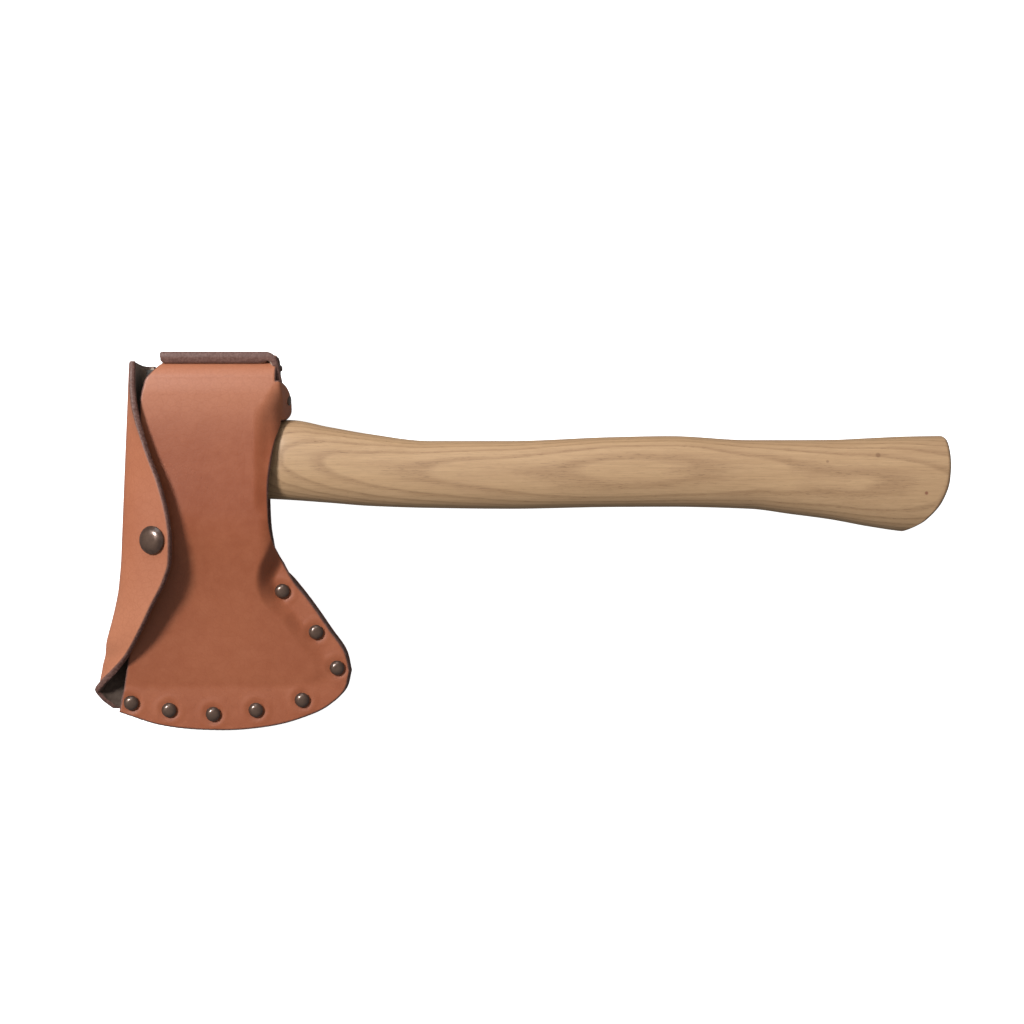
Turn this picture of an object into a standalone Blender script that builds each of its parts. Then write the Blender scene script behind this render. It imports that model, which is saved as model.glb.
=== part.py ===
# A hand axe whose head is closed in a riveted leather sheath with a snap flap.
# The axe lies on its side: +X runs along the haft to its butt, +Y to the poll, +Z up out of the front panel.
# The origin is under the middle of the eye, on the flat underside of the sheath's back panel.
import math

import bmesh
import bpy
import numpy as np

MM = 0.001

# Driving dimensions, in millimetres
gap = 0.3
head_slack = 0.25                           # room that the head's cheeks keep inside the stiff leather
leather = 3.0
eye_half = 13.0
welt_half = 2.0
rim_height = welt_half + gap + leather      # middle plane to the outside of a panel at the riveted rim
eye_height = eye_half + gap + leather       # the same over the eye
mid = eye_height                            # height of the axe's middle plane, with the back panel lying on zero
poll_y = 41.2
poll_radius = 8.0
tab_end = 28.0
incline = math.radians(25.0)
top_y = 44.5
toe_y = -111.0

# Axe: (x, top, bottom, half thickness) along the haft, and the curved end face of its butt
haft_stations = [
    (-26, 19.0, -16.0, 9.4), (0, 18.0, -15.0, 9.0), (27, 19.0, -16.0, 9.3), (39, 19.4, -16.6, 10.7),
    (57, 16.2, -17.9, 10.9), (75, 13.1, -19.3, 10.7), (102, 10.0, -20.2, 10.4), (138, 10.0, -20.6, 10.5),
    (183, 11.7, -19.8, 10.9), (210, 12.2, -19.7, 10.9), (246, 10.4, -20.6, 10.7), (264, 10.4, -22.9, 10.9),
    (282, 10.5, -25.3, 11.4), (300, 11.3, -28.6, 12.0), (316, 12.0, -30.8, 12.4), (340, 12.4, -32.0, 12.4),
]
butt_face = [(-1.0, 315.9), (-0.72, 325.5), (-0.3, 333.2), (0.3, 335.6), (0.8, 334.4), (1.0, 331.6)]
butt_round = 1.4
head_thickness = [(-105, 0.3), (-100, 2.0), (-75, 5.0), (-50, 8.6), (-31, eye_half), (30, eye_half), (poll_y, 12.0)]
head_left = [(-32, -99), (-26, -80), (-20, -60), (-17, -38), (-18.6, -20), (-22.6, 0), (-23.4, poll_y)]
head_right = [(50.5, -91), (38, -76), (29, -62), (25.5, -50), (26.3, -30), (27.4, -10), (27.4, poll_y)]
head_bit = [(-32, -99), (-14, -103), (8, -105), (32, -102), (50.5, -91)]

# Sheath, in plan, in the order of walking round it
rim_curve = [
    (41.2, -52.4), (48.3, -61.3), (57.7, -74.7), (64.6, -85), (66.6, -93.5), (64.4, -101.5), (57.3, -108.4),
    (42.9, -114.9), (20, -119.2), (0, -119.4), (-18, -117.4), (-36.7, -111.6),
]
heel_corner = 4                             # the rim point where the bottom edge meets the right edge
front_right = [(41.2, -52.4), (36.3, -43.3), (33.0, -33.0), (31.6, -20), (31.6, -8), (34.2, 8), (36.6, 17.5),
               (37.0, 26), (36.6, 36.5)]
front_left = [(-36.7, -111.6), (-33.5, -95), (-30, -72), (-27.5, -45), (-25.5, -15), (-24, 5), (-24.3, 24), (-23.2, 36.5)]
ear_rows = (18.5, 36.0)
ear_face = 38.3                             # x of the front ear's outer face at its rivet
back_ear_x = 33.0
back_top = 40.6
welt_width = 11.0
row_crowd = 1.3                             # panel rows lie closer together towards the poll

# Flap: free edge (x, y, z) from the top to the toe and along the short bottom edge
free_edge = [
    (-29.1, 44.5, 33), (-29.3, 27.1, 36), (-25.7, 18.2, 38), (-20.5, 4.6, 40), (-15.4, -6.3, 41.5),
    (-12.1, -15.5, 42.5), (-10.2, -25.0, 43.2), (-9.8, -34.0, 43.3), (-10.2, -43.5, 42.5), (-12.8, -52, 41),
    (-18.8, -63.1, 38), (-24.8, -74.3, 34.5), (-32.2, -85.7, 29), (-37.9, -91.3, 25.5), (-45.4, -97.6, 20.5),
    (-49.2, -102.1, 16), (-46.5, -106.9, 14), (-41.0, -111.5, 12.5),
]
fold_start = (-25.2, 45.0, 0.3)             # fold line at the back panel's left edge, at the poll end
fold_slope = (-0.064, 0.070)                # change of x and z for each millimetre towards the toe
fold_gap = 0.8                              # clear width of the seam at the first fold line
fold_lead = 10.5                            # width over which the back panel rises to the fold line
curl_start = (-30.3, 45.0, 29.0)            # second fold line, up on the side wall
curl_slope = (-0.045, -0.0224)
curl_gap = 1.0                              # clear width of the seam at the second fold line
curl_toe_y = -84.0                          # below this the flap is one piece from the fold line to its free edge
wall_lean = [(-111, -50), (-102, -30), (-98, 0), (-94, 20), (-88, 50), (-70, 35), (-45, 3), (45, 0)]

# Fasteners
rivet_places = [(36.4, -57.3), (51.5, -75.6), (60.9, -91.6), (45.3, -105.9), (24.7, -110.4), (5.6, -112.2),
                (-14.1, -110.4), (-31.0, -107.2)]
seat = 0.45                                 # how far a cap stands off the leather
cap_radius = 3.3
cap_rise = 1.9
post_radius = 1.5
ear_rivet = (28.0, 20.5)                    # y and z of the ear rivet's axis
snap_y = -34.2
snap_share = 0.76                           # how far along the flap's front the snap sits, from fold to free edge
snap_gap = 3.6                              # clear height between flap and front panel at the snap
snap_radius = 6.2


def smooth_at(pairs, x):
    """Height of a smooth curve without overshoot through (x, y) pairs."""
    table = np.array(sorted(pairs), float)
    xs, ys = table[:, 0], table[:, 1]
    step = np.diff(xs)
    rise = np.diff(ys) / step
    slope = np.concatenate([rise[:1], np.zeros(len(xs) - 2), rise[-1:]])
    for i in range(1, len(xs) - 1):
        if rise[i - 1] * rise[i] > 0:
            slope[i] = 2 * rise[i - 1] * rise[i] / (rise[i - 1] + rise[i])
    x = np.clip(np.asarray(x, float), xs[0], xs[-1])
    i = np.clip(np.searchsorted(xs, x) - 1, 0, len(step) - 1)
    t = (x - xs[i]) / step[i]
    bend = t * t * (3 - 2 * t)
    tangents = slope[i] * t * (1 - t) ** 2 + slope[i + 1] * t * t * (t - 1)
    return ys[i] + (ys[i + 1] - ys[i]) * bend + tangents * step[i]


def curve(points, count, crowd=1.0):
    """Points on a smooth curve through the given ones: evenly spaced, or closer towards its end with crowd over 1."""
    points = np.array(points, float)
    chord = np.concatenate([[0], np.cumsum(np.linalg.norm(np.diff(points, axis=0), axis=1))])
    fine = np.linspace(0, chord[-1], 40 * len(points))
    line = np.stack([hermite(chord, points[:, k], fine) for k in range(points.shape[1])], axis=1)
    run = np.concatenate([[0], np.cumsum(np.linalg.norm(np.diff(line, axis=0), axis=1))])
    spaced = run[-1] * (1 - np.linspace(1, 0, count) ** crowd)
    return np.stack([np.interp(spaced, run, line[:, k]) for k in range(points.shape[1])], axis=1)


def hermite(knots, values, at):
    """Cubic curve through values, with each knot's slope taken from its two neighbours."""
    slope = np.gradient(values, knots)
    i = np.clip(np.searchsorted(knots, at) - 1, 0, len(knots) - 2)
    step = knots[i + 1] - knots[i]
    t = (at - knots[i]) / step
    bend = t * t * (3 - 2 * t)
    tangents = slope[i] * t * (1 - t) ** 2 + slope[i + 1] * t * t * (t - 1)
    return values[i] + (values[i + 1] - values[i]) * bend + tangents * step


def ease(t):
    t = np.clip(t, 0, 1)
    return t * t * (3 - 2 * t)


def bezier(a, b, c, d, t):
    t = t[:, None]
    return (1 - t) ** 3 * a + 3 * (1 - t) ** 2 * t * b + 3 * (1 - t) * t * t * c + t ** 3 * d


def patch(bottom, top, left, right):
    """Grid of plan points between four edge curves that meet at their ends."""
    a = np.linspace(0, 1, len(bottom))[None, :, None]
    b = np.linspace(0, 1, len(left))[:, None, None]
    between = (1 - b) * bottom[None] + b * top[None] + (1 - a) * left[:, None] + a * right[:, None]
    corners = (1 - a) * (1 - b) * bottom[0] + a * (1 - b) * bottom[-1] + (1 - a) * b * top[0] + a * b * top[-1]
    return between - corners


def surface_normals(grid):
    across = np.gradient(grid, axis=1, edge_order=2)
    along = np.gradient(grid, axis=0, edge_order=2)
    normal = np.cross(across, along)
    return normal / np.linalg.norm(normal, axis=2, keepdims=True)


def material(name, color, roughness, metallic=0.0):
    made = bpy.data.materials.new(name)
    made.use_nodes = True
    shader = made.node_tree.nodes["Principled BSDF"]
    shader.inputs["Base Color"].default_value = (*color, 1)
    shader.inputs["Roughness"].default_value = roughness
    shader.inputs["Metallic"].default_value = metallic
    made.diffuse_color = (*color, 1)
    return made


def add_object(name, vertices, faces, finish=None, origin=(0, 0, 0)):
    """Object from a closed mesh in millimetres, with its origin at a given point."""
    mesh = bpy.data.meshes.new(name)
    points = (np.asarray(vertices, float) - np.array(origin)) * MM
    mesh.from_pydata(points.tolist(), [], [tuple(f) for f in faces])
    shape = bmesh.new()
    shape.from_mesh(mesh)
    bmesh.ops.remove_doubles(shape, verts=shape.verts, dist=1e-7)
    bmesh.ops.recalc_face_normals(shape, faces=shape.faces)
    shape.to_mesh(mesh)
    shape.free()
    mesh.shade_smooth()
    mesh.set_sharp_from_angle(angle=math.radians(35))
    made = bpy.data.objects.new(name, mesh)
    made.location = np.array(origin) * MM
    if finish:
        mesh.materials.append(finish)
    bpy.context.collection.objects.link(made)
    return made


def sheet(name, outer, finish, keep=None, thickness=leather, origin=(0, 0, 0)):
    """Closed leather sheet from a grid of points on its outer face; keep says which cells exist."""
    rows, columns = outer.shape[:2]
    inner = outer - surface_normals(outer) * thickness
    if keep is None:
        keep = np.ones((rows - 1, columns - 1), bool)
    count = rows * columns

    def near(i, j):
        return i * columns + j

    def far(i, j):
        return count + i * columns + j

    faces = []
    for i, j in np.argwhere(keep):
        ring = [(i, j), (i, j + 1), (i + 1, j + 1), (i + 1, j)]
        faces.append([near(*p) for p in ring])
        faces.append([far(*p) for p in reversed(ring)])
        beside = [(i - 1, j), (i, j + 1), (i + 1, j), (i, j - 1)]
        for side, (p, q) in enumerate(beside):
            if 0 <= p < rows - 1 and 0 <= q < columns - 1 and keep[p, q]:
                continue
            a, b = ring[side], ring[(side + 1) % 4]
            faces.append([near(*b), near(*a), far(*a), far(*b)])
    vertices = np.concatenate([outer.reshape(-1, 3), inner.reshape(-1, 3)])
    used = sorted({v for f in faces for v in f})
    number = {v: k for k, v in enumerate(used)}
    faces = [[number[v] for v in f] for f in faces]
    return add_object(name, vertices[used], faces, finish, origin)


def loft(name, rings, finish=None, origin=(0, 0, 0)):
    """Closed body through rings of equal length, with a flat fan at each end."""
    rings = np.asarray(rings, float)
    count, size = rings.shape[:2]
    vertices = list(rings.reshape(-1, 3)) + [rings[0].mean(axis=0), rings[-1].mean(axis=0)]
    faces = []
    for i in range(count - 1):
        for j in range(size):
            k = (j + 1) % size
            faces.append([i * size + j, i * size + k, (i + 1) * size + k, (i + 1) * size + j])
    for j in range(size):
        k = (j + 1) % size
        faces.append([count * size, k, j])
        faces.append([count * size + 1, (count - 1) * size + j, (count - 1) * size + k])
    return add_object(name, vertices, faces, finish, origin)


def turned(name, profile, centre, axis, finish=None, segments=20, turn=0.0):
    """Body of revolution: (radius, distance along the axis) pairs carried round an axis through centre."""
    axis = np.array(axis, float) / np.linalg.norm(axis)
    side = np.cross(axis, [0, 1, 0])
    side = side / np.linalg.norm(side)
    other = np.cross(axis, side)
    angle = np.arange(segments) * 2 * math.pi / segments + turn
    circle = np.cos(angle)[:, None] * side + np.sin(angle)[:, None] * other
    rings = [np.array(centre) + circle * radius + axis * along for radius, along in profile]
    return loft(name, rings, finish, centre)


def cut(body, cutter, name):
    """Takes the cutter out of the body with an exact Boolean and keeps the cutter as a hidden guide."""
    cutter.hide_render = True
    cutter.display_type = "WIRE"
    step = body.modifiers.new(name, "BOOLEAN")
    step.operation = "DIFFERENCE"
    step.solver = "EXACT"
    step.object = cutter


# ---- axe ----

def haft_rings(first_x, last_x, count, segments, grow=0.0):
    """Oval sections of the haft between two stations, grown by a clearance."""
    top = [(x, up) for x, up, down, half in haft_stations]
    bottom = [(x, down) for x, up, down, half in haft_stations]
    half = [(x, half) for x, up, down, half in haft_stations]
    angle = np.arange(segments) * 2 * math.pi / segments
    rise = np.sign(np.sin(angle)) * np.abs(np.sin(angle)) ** 0.88
    width = np.sign(np.cos(angle)) * np.abs(np.cos(angle)) ** 0.88
    rings = []
    for share in np.linspace(0, 1, count):
        end = smooth_at(butt_face, rise) if last_x is None else np.full(segments, last_x)
        x = first_x + share * (end - first_x)
        up = smooth_at(top, x) + grow
        down = smooth_at(bottom, x) - grow
        y = (up + down) / 2 + rise * (up - down) / 2
        z = mid + width * (smooth_at(half, x) + grow)
        rings.append(np.stack([x, y, z], axis=1))
    return np.array(rings)


def make_haft(wood):
    rings = haft_rings(-26, None, 34, 24)
    middle = (rings[-1, :, 1].max() + rings[-1, :, 1].min()) / 2
    half = (rings[-1, :, 1].max() - rings[-1, :, 1].min()) / 2
    centre = np.array([0, middle, mid])
    end = []
    for pull, back in ((0.985, 0.5), (0.94, 0.1), (0.85, 0), (0.55, 0), (0.2, 0)):
        ring = centre + (rings[-1] - centre) * pull
        ring[:, 0] = smooth_at(butt_face, (ring[:, 1] - middle) / half) - back
        end.append(ring)
    rings[-1, :, 0] -= butt_round
    return loft("haft", np.concatenate([rings, end]), wood)


def wedge_rings(start, depth, half_y, thick, axis_y, along_z, grow=0.0):
    """Tapered blade driven into the haft's end along +X: thick at the start, thin at its tip."""
    rings = []
    for x, half in ((start - grow, thick[0] / 2 + grow), (start + depth + grow, thick[1] / 2 + grow)):
        wide = half_y + grow
        y, z = (half, wide) if along_z else (wide, half)
        rings.append([(x, axis_y - y, mid - z), (x, axis_y + y, mid - z), (x, axis_y + y, mid + z),
                      (x, axis_y - y, mid + z)])
    return rings


def make_axe(steel, wood, wedge_wood):
    rows, columns = 20, 11
    left = curve(head_left, rows)
    right = curve(head_right, rows)
    bottom = curve(head_bit, columns)
    top = np.linspace(head_left[-1], head_right[-1], columns)
    plan = patch(bottom, top, left, right)
    half = np.maximum(smooth_at(head_thickness, plan[..., 1]) - head_slack, 0.25)
    from_side = np.minimum(np.arange(columns), np.arange(columns)[::-1])
    from_poll = np.arange(rows)[::-1]
    near = np.minimum(np.minimum.outer(from_poll, from_side), 1)
    half = np.where(near == 0, np.maximum(half - 2.5, 0.25), half)
    upper = np.concatenate([plan, (mid + half)[..., None]], axis=2)
    lower = np.concatenate([plan, (mid - half)[..., None]], axis=2)
    head = two_faced("axe_head", upper, lower, steel)
    haft = make_haft(wood)
    eye = loft("eye_cutter", haft_rings(-40, 45, 14, 24, gap))
    cut(head, eye, "eye")

    wedge = loft("eye_wedge", wedge_rings(-26.6, 34, 12.5, (4.4, 1.4), 1.5, False), wedge_wood)
    kerf = loft("kerf_cutter", wedge_rings(-26.6, 34, 12.5, (4.4, 1.4), 1.5, False, gap))
    steel_wedge = loft("steel_wedge", wedge_rings(-26.8, 17, 6.0, (2.6, 0.8), 7.0, True), steel)
    slot = loft("slot_cutter", wedge_rings(-26.8, 17, 6.0, (2.6, 0.8), 7.0, True, gap))
    cut(haft, kerf, "kerf")
    cut(haft, slot, "slot")
    cut(wedge, slot, "slot")
    return head, haft, wedge, steel_wedge


def two_faced(name, upper, lower, finish):
    """Closed body between two grids of the same size."""
    rows, columns = upper.shape[:2]
    count = rows * columns
    faces = []
    for i in range(rows - 1):
        for j in range(columns - 1):
            ring = [i * columns + j, i * columns + j + 1, (i + 1) * columns + j + 1, (i + 1) * columns + j]
            faces.append(ring)
            faces.append([count + v for v in reversed(ring)])
    border = [j for j in range(columns)] + [i * columns + columns - 1 for i in range(1, rows)]
    border += [(rows - 1) * columns + j for j in range(columns - 2, -1, -1)]
    border += [i * columns for i in range(rows - 2, 0, -1)]
    for a, b in zip(border, border[1:] + border[:1]):
        faces.append([b, a, count + a, count + b])
    return add_object(name, np.concatenate([upper.reshape(-1, 3), lower.reshape(-1, 3)]), faces, finish)


# ---- sheath ----

def rim_distance(plan):
    rim = curve(rim_curve, 160)
    return np.linalg.norm(plan[..., None, :] - rim, axis=-1).min(axis=-1)


def panel_height(plan):
    """Middle plane to the outside of a panel: low along the riveted rim, over the cheeks elsewhere."""
    over = smooth_at(head_thickness, plan[..., 1]) + gap + leather
    over = np.maximum(over, rim_height)
    return rim_height + (over - rim_height) * ease((rim_distance(plan) - 10.3) / 5.7)


def front_height(plan):
    x, y = plan[..., 0], plan[..., 1]
    start = smooth_at([(-112, -42), (-97, -37), (-60, -22), (-44, -14), (-24, -14), (0, -26), (45, -30)], y)
    down = np.tan(incline) * np.maximum(start - x, 0)
    raised = 2.2 * np.exp(-((x + 14.8) ** 2 / 162 + (y - snap_y) ** 2 / 242))
    over_ear = ease((y + 4) / 20)
    reach = np.clip(x - 27.5, 0, 9.6)
    turn = (10 - np.sqrt(100 - reach ** 2)) * over_ear
    return panel_height(plan) - down + raised - turn


def back_height(plan):
    x, y = plan[..., 0], plan[..., 1]
    reach = np.clip(x - (back_ear_x - 8), 0, 7.8)
    base = mid - panel_height(plan) + (8 - np.sqrt(64 - reach ** 2)) * ease((y - 10) / 10) * ease((39 - y) / 4)
    line_x = fold_start[0] + fold_slope[0] * (fold_start[1] - y)
    line_z = fold_start[2] + fold_slope[1] * (fold_start[1] - y)
    share = np.clip(1 - (x - line_x) / fold_lead, 0, 1) ** 2
    return base + (line_z - base) * share


def rim_edges(columns, rows, left, right_upper):
    """The four edges of a panel in plan, meeting at the toe, the heel and the two poll corners."""
    bottom = curve([left[0]] + rim_curve[heel_corner:-1][::-1], columns)
    right = curve(rim_curve[:heel_corner + 1][::-1] + right_upper[1:], rows, row_crowd)
    left = curve(left, rows, row_crowd)
    top = np.linspace(left[-1], right[-1], columns)
    return bottom, top, left, right


def over_poll(start, steps, side_shift, direction, drop):
    """Rows that carry a panel's top edge round the poll and on, direction +1 down and -1 up."""
    rows = []
    for angle in np.linspace(0, 90, steps + 1)[1:]:
        turn = math.radians(angle)
        row = start.copy()
        row[:, 1] += poll_radius * math.sin(turn)
        row[:, 2] -= direction * poll_radius * (1 - math.cos(turn))
        rows.append(row)
    last = rows[-1].copy()
    for share in (0.5, 1.0):
        row = last.copy()
        row[:, 2] -= direction * drop * share
        row[:, 1] += 0.5 * share if direction < 0 else 0
        rows.append(row)
    for k, row in enumerate(rows):
        share = ease(np.linspace(1, 0, row.shape[0])) * ease((k + 1) / steps)
        row[:, 0] += side_shift * share
    return rows


def ear_keep(outer, columns):
    """Which cells of the rows and columns exist: the whole panel, and its ear beside the haft's opening."""
    y = outer[:, columns - 1, 1]
    keep = np.ones((outer.shape[0] - 1, outer.shape[1] - 1), bool)
    keep[:, columns - 1:] = False
    ear = [i for i in range(len(y) - 1) if y[i] > ear_rows[0] and y[i + 1] < ear_rows[1]]
    keep[ear[0]:ear[-1] + 1, columns - 1:] = True
    return keep


def with_ear(outer, length, spread, direction):
    """Extra columns past the right edge that carry the ear down (+1) or up (-1), narrowing to a round tip."""
    middle = sum(ear_rows) / 2
    added = []
    for share in (0.2, 0.4, 0.6, 0.8, 1.0):
        column = outer[:, -1].copy()
        column[:, 2] -= direction * length * share
        column[:, 0] += spread * share
        column[:, 1] += (middle - column[:, 1]) * 0.35 * share ** 3
        added.append(column)
    return np.concatenate([outer, np.stack(added, axis=1)], axis=1)


def make_front(hide):
    columns, rows = 21, 28
    plan = patch(*rim_edges(columns, rows, front_left, front_right))
    outer = np.concatenate([plan, (mid + front_height(plan))[..., None]], axis=2)
    outer = np.concatenate([outer, np.array(over_poll(outer[-1], 4, 6.5, 1, 14))])
    wide = with_ear(outer, 13, 2.0, 1)
    return sheet("sheath_front", wide, hide, ear_keep(wide, columns))


def make_back(hide):
    columns, rows = 21, 28
    left = [(fold_point(y)[0] + fold_gap, y) for y in (-111.6, -60, 0, back_top)]
    right = [(min(x, back_ear_x), y) if y > 10 else (x, y) for x, y in front_right[:-1]]
    right.append((back_ear_x, back_top))
    plan = patch(*rim_edges(columns, rows, left, right))
    outer = np.concatenate([plan, back_height(plan)[..., None]], axis=2)
    outer = np.concatenate([outer, np.array(over_poll(outer[-1], 4, 5.0, -1, tab_end - poll_radius))])
    wide = with_ear(outer, 17, 0.0, -1)
    return sheet("sheath_back", wide, hide, ear_keep(wide, columns), -leather)


def make_welt(hide):
    line = curve(rim_curve, 44)
    along = np.gradient(line, axis=0)
    along /= np.linalg.norm(along, axis=1, keepdims=True)
    inward = np.stack([along[:, 1], -along[:, 0]], axis=1)
    rings = []
    for point, side in zip(line, inward):
        near, far = point + side * 0.4, point + side * welt_width
        rings.append([(*near, mid - welt_half), (*far, mid - welt_half), (*far, mid + welt_half),
                      (*near, mid + welt_half)])
    return loft("edge_welt", rings, hide)


# ---- flap ----

def fold_point(y):
    """Point of the fold line, where the flap leaves the back panel."""
    drop = fold_start[1] - y
    return np.array([fold_start[0] + fold_slope[0] * drop, y, fold_start[2] + fold_slope[1] * drop])


def curl_point(y):
    """Point of the second fold line, at the top of the flap's side wall."""
    drop = curl_start[1] - y
    return np.array([curl_start[0] + curl_slope[0] * drop, y, curl_start[2] + curl_slope[1] * drop])


def edge_point(y):
    """Point of the flap's free edge."""
    return np.array([smooth_at([(p[1], p[0]) for p in free_edge], y), y,
                     smooth_at([(p[1], p[2]) for p in free_edge], y)])


def side_section(y, share):
    """Flap from the fold line round the side of the head: share 0 to 1 along it."""
    start = fold_point(y)
    end = curl_point(y) if y > curl_toe_y else edge_point(y)
    reach = np.linalg.norm(end - start)
    lean = math.radians(float(smooth_at(wall_lean, y)))
    level = mid - float(panel_height(start[None, :2])[0])
    rise = math.atan(2 * (start[2] - level) / fold_lead)
    low = start + 0.28 * reach * np.array([-math.cos(rise), 0, math.sin(rise)])
    high = end - 0.38 * reach * np.array([math.sin(lean), 0, math.cos(lean)])
    return bezier(start, low, high, end, share)


def front_section(y, share):
    """Flap from the second fold line over the front panel to its free edge."""
    start, end = curl_point(y), edge_point(y)
    reach = np.linalg.norm(end - start)
    lean = math.radians(float(smooth_at(wall_lean, y)))
    rest = math.radians(float(smooth_at([(-90, 35), (-60, 22), (-34, 24), (0, 30), (30, 80), (45, 85)], y)))
    low = start + 0.30 * reach * np.array([math.sin(lean), 0, math.cos(lean)])
    high = end - 0.40 * reach * np.array([math.cos(rest), 0, math.sin(rest)])
    return bezier(start, low, high, end, share)


def snap_frame():
    """Point on the flap's outside at the snap, and the direction straight out of it there."""
    step = 0.01
    point, ahead = front_section(snap_y, np.array([snap_share, snap_share + step]))
    beside = front_section(snap_y + step, np.array([snap_share]))[0]
    out = np.cross(ahead - point, beside - point)
    return point, out / np.linalg.norm(out)


def make_flap(hide):
    rows = np.concatenate([np.linspace(toe_y, curl_toe_y - 0.6, 8), np.linspace(curl_toe_y + 0.6, top_y, 24)])
    side = np.array([side_section(y, np.linspace(0, 1, 10)) for y in rows])
    side_piece = sheet("flap_side", side, hide, origin=fold_point(0))
    front_rows = np.linspace(curl_toe_y + 1.8, top_y, 27)
    front = []
    for y in front_rows:
        first = curl_gap / np.linalg.norm(edge_point(y) - curl_point(y))
        front.append(front_section(y, first + (1 - first) * np.linspace(0, 1, 10)))
    front_piece = sheet("flap_front", np.array(front), hide, origin=curl_point(0))
    return side_piece, front_piece


# ---- fasteners ----

def dome(radius, rise, base, steps=4):
    """Profile of a low domed cap with a short straight skirt."""
    skirt = rise * 0.35
    pairs = [(radius, base), (radius, base + skirt)]
    for k in range(1, steps):
        turn = math.radians(90 * k / steps)
        pairs.append((radius * math.cos(turn), base + skirt + (rise - skirt) * math.sin(turn)))
    return pairs + [(0.25, base + rise)]


def make_rivets(bronze, front, back, welt):
    top = mid + rim_height
    bottom = mid - rim_height
    for number, (x, y) in enumerate(rivet_places, 1):
        centre = (x, y, mid)
        turned(f"rivet_cap_{number}", dome(cap_radius, cap_rise, top + seat - mid), centre, (0, 0, 1), bronze, 14)
        post = [(post_radius, top - mid), (post_radius, bottom - gap - mid), (3.0, bottom - gap - mid),
                (3.0, bottom - gap - 1.0 - mid)]
        turned(f"rivet_post_{number}", post, centre, (0, 0, 1), bronze, 10)
        hole = turned(f"rivet_hole_{number}", [(post_radius + gap, 20), (post_radius + gap, -20)], centre,
                      (0, 0, 1), None, 10)
        for leather_piece in (front, back, welt):
            cut(leather_piece, hole, hole.name)


def make_ear_rivet(bronze, front, back):
    y, z = ear_rivet
    centre = (0, y, z)
    turned("ear_rivet_cap", dome(2.9, 1.6, ear_face + gap), centre, (1, 0, 0), bronze, 16)
    inside = back_ear_x - leather - gap
    post = [(post_radius, ear_face), (post_radius, inside), (2.8, inside), (2.8, inside - 0.9)]
    turned("ear_rivet_post", post, centre, (1, 0, 0), bronze, 12)
    hole = turned("ear_hole", [(post_radius + gap, 45), (post_radius + gap, 28)], centre, (1, 0, 0), None, 12)
    cut(front, hole, "ear_hole")
    cut(back, hole, "ear_hole")


def make_snap(bronze, front, flap):
    point, out = snap_frame()
    under = -leather
    cap = dome(snap_radius, 2.4, 0.4)
    cap = [(post_radius, under - 0.4), (post_radius, 0.4)] + cap
    turned("snap_cap", cap, point, out, bronze, 24)
    top = under - 0.8
    socket = [(4.8, top), (4.8, top - 1.7), (3.7, top - 1.7), (3.7, top - 0.6), (0.3, top - 0.6)]
    turned("snap_socket", socket, point, out, bronze, 24)
    face = under - snap_gap
    stud = [(2.6, face + 1.7), (2.6, face + 0.7), (4.4, face + 0.7), (4.4, face + gap)]
    turned("snap_stud", stud, point, out, bronze, 24)
    below = face - leather
    base = [(post_radius, face), (post_radius, below - 1.15), (2.4, below - 1.15), (2.4, below - 1.7)]
    turned("snap_base", base, point, out, bronze, 24)
    hole = turned("snap_hole", [(post_radius + gap, 3), (post_radius + gap, -14)], point, out, None, 12)
    cut(flap, hole, "snap_hole")
    cut(front, hole, "snap_hole")


def make_sheath(hide, bronze):
    front = make_front(hide)
    back = make_back(hide)
    welt = make_welt(hide)
    side_piece, front_piece = make_flap(hide)
    make_rivets(bronze, front, back, welt)
    make_ear_rivet(bronze, front, back)
    make_snap(bronze, front, front_piece)


def main():
    for old in list(bpy.data.objects):
        bpy.data.objects.remove(old)
    steel = material("forged_steel", (0.22, 0.21, 0.20), 0.45, 1.0)
    wood = material("ash_wood", (0.60, 0.42, 0.24), 0.55)
    wedge_wood = material("wedge_wood", (0.50, 0.33, 0.18), 0.6)
    hide = material("russet_leather", (0.45, 0.17, 0.08), 0.55)
    bronze = material("dark_bronze", (0.12, 0.09, 0.07), 0.35, 1.0)
    make_axe(steel, wood, wedge_wood)
    make_sheath(hide, bronze)


main()
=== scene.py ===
# Looks of a hand axe in its riveted leather sheath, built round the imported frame. Lengths below are in
# millimetres and become metres where a mesh is made: +X to the butt, +Y to the poll, +Z up.
import math

import bpy
import numpy as np
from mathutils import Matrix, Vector


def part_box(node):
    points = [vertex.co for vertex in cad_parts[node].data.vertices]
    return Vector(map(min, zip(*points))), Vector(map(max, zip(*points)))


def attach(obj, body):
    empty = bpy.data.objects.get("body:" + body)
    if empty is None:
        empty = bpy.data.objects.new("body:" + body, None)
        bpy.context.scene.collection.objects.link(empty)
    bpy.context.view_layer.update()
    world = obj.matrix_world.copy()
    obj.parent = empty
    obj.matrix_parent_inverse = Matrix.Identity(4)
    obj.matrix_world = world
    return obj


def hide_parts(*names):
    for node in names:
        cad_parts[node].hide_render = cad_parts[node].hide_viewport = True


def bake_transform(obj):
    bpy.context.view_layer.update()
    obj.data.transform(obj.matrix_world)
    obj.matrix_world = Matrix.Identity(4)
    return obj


mm = 0.001
weldStep = 0.002
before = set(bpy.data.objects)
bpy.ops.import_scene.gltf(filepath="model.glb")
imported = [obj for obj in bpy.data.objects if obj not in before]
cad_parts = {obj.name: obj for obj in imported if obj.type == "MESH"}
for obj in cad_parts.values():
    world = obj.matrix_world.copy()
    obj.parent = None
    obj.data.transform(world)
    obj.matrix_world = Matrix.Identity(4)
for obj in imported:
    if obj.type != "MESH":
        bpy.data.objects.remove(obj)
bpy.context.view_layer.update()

rootBody = "axe_in_sheath"
coverBody = "flap_cover"


def boxMm(node):
    low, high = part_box(node)
    return np.array(low) / mm, np.array(high) / mm


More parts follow.
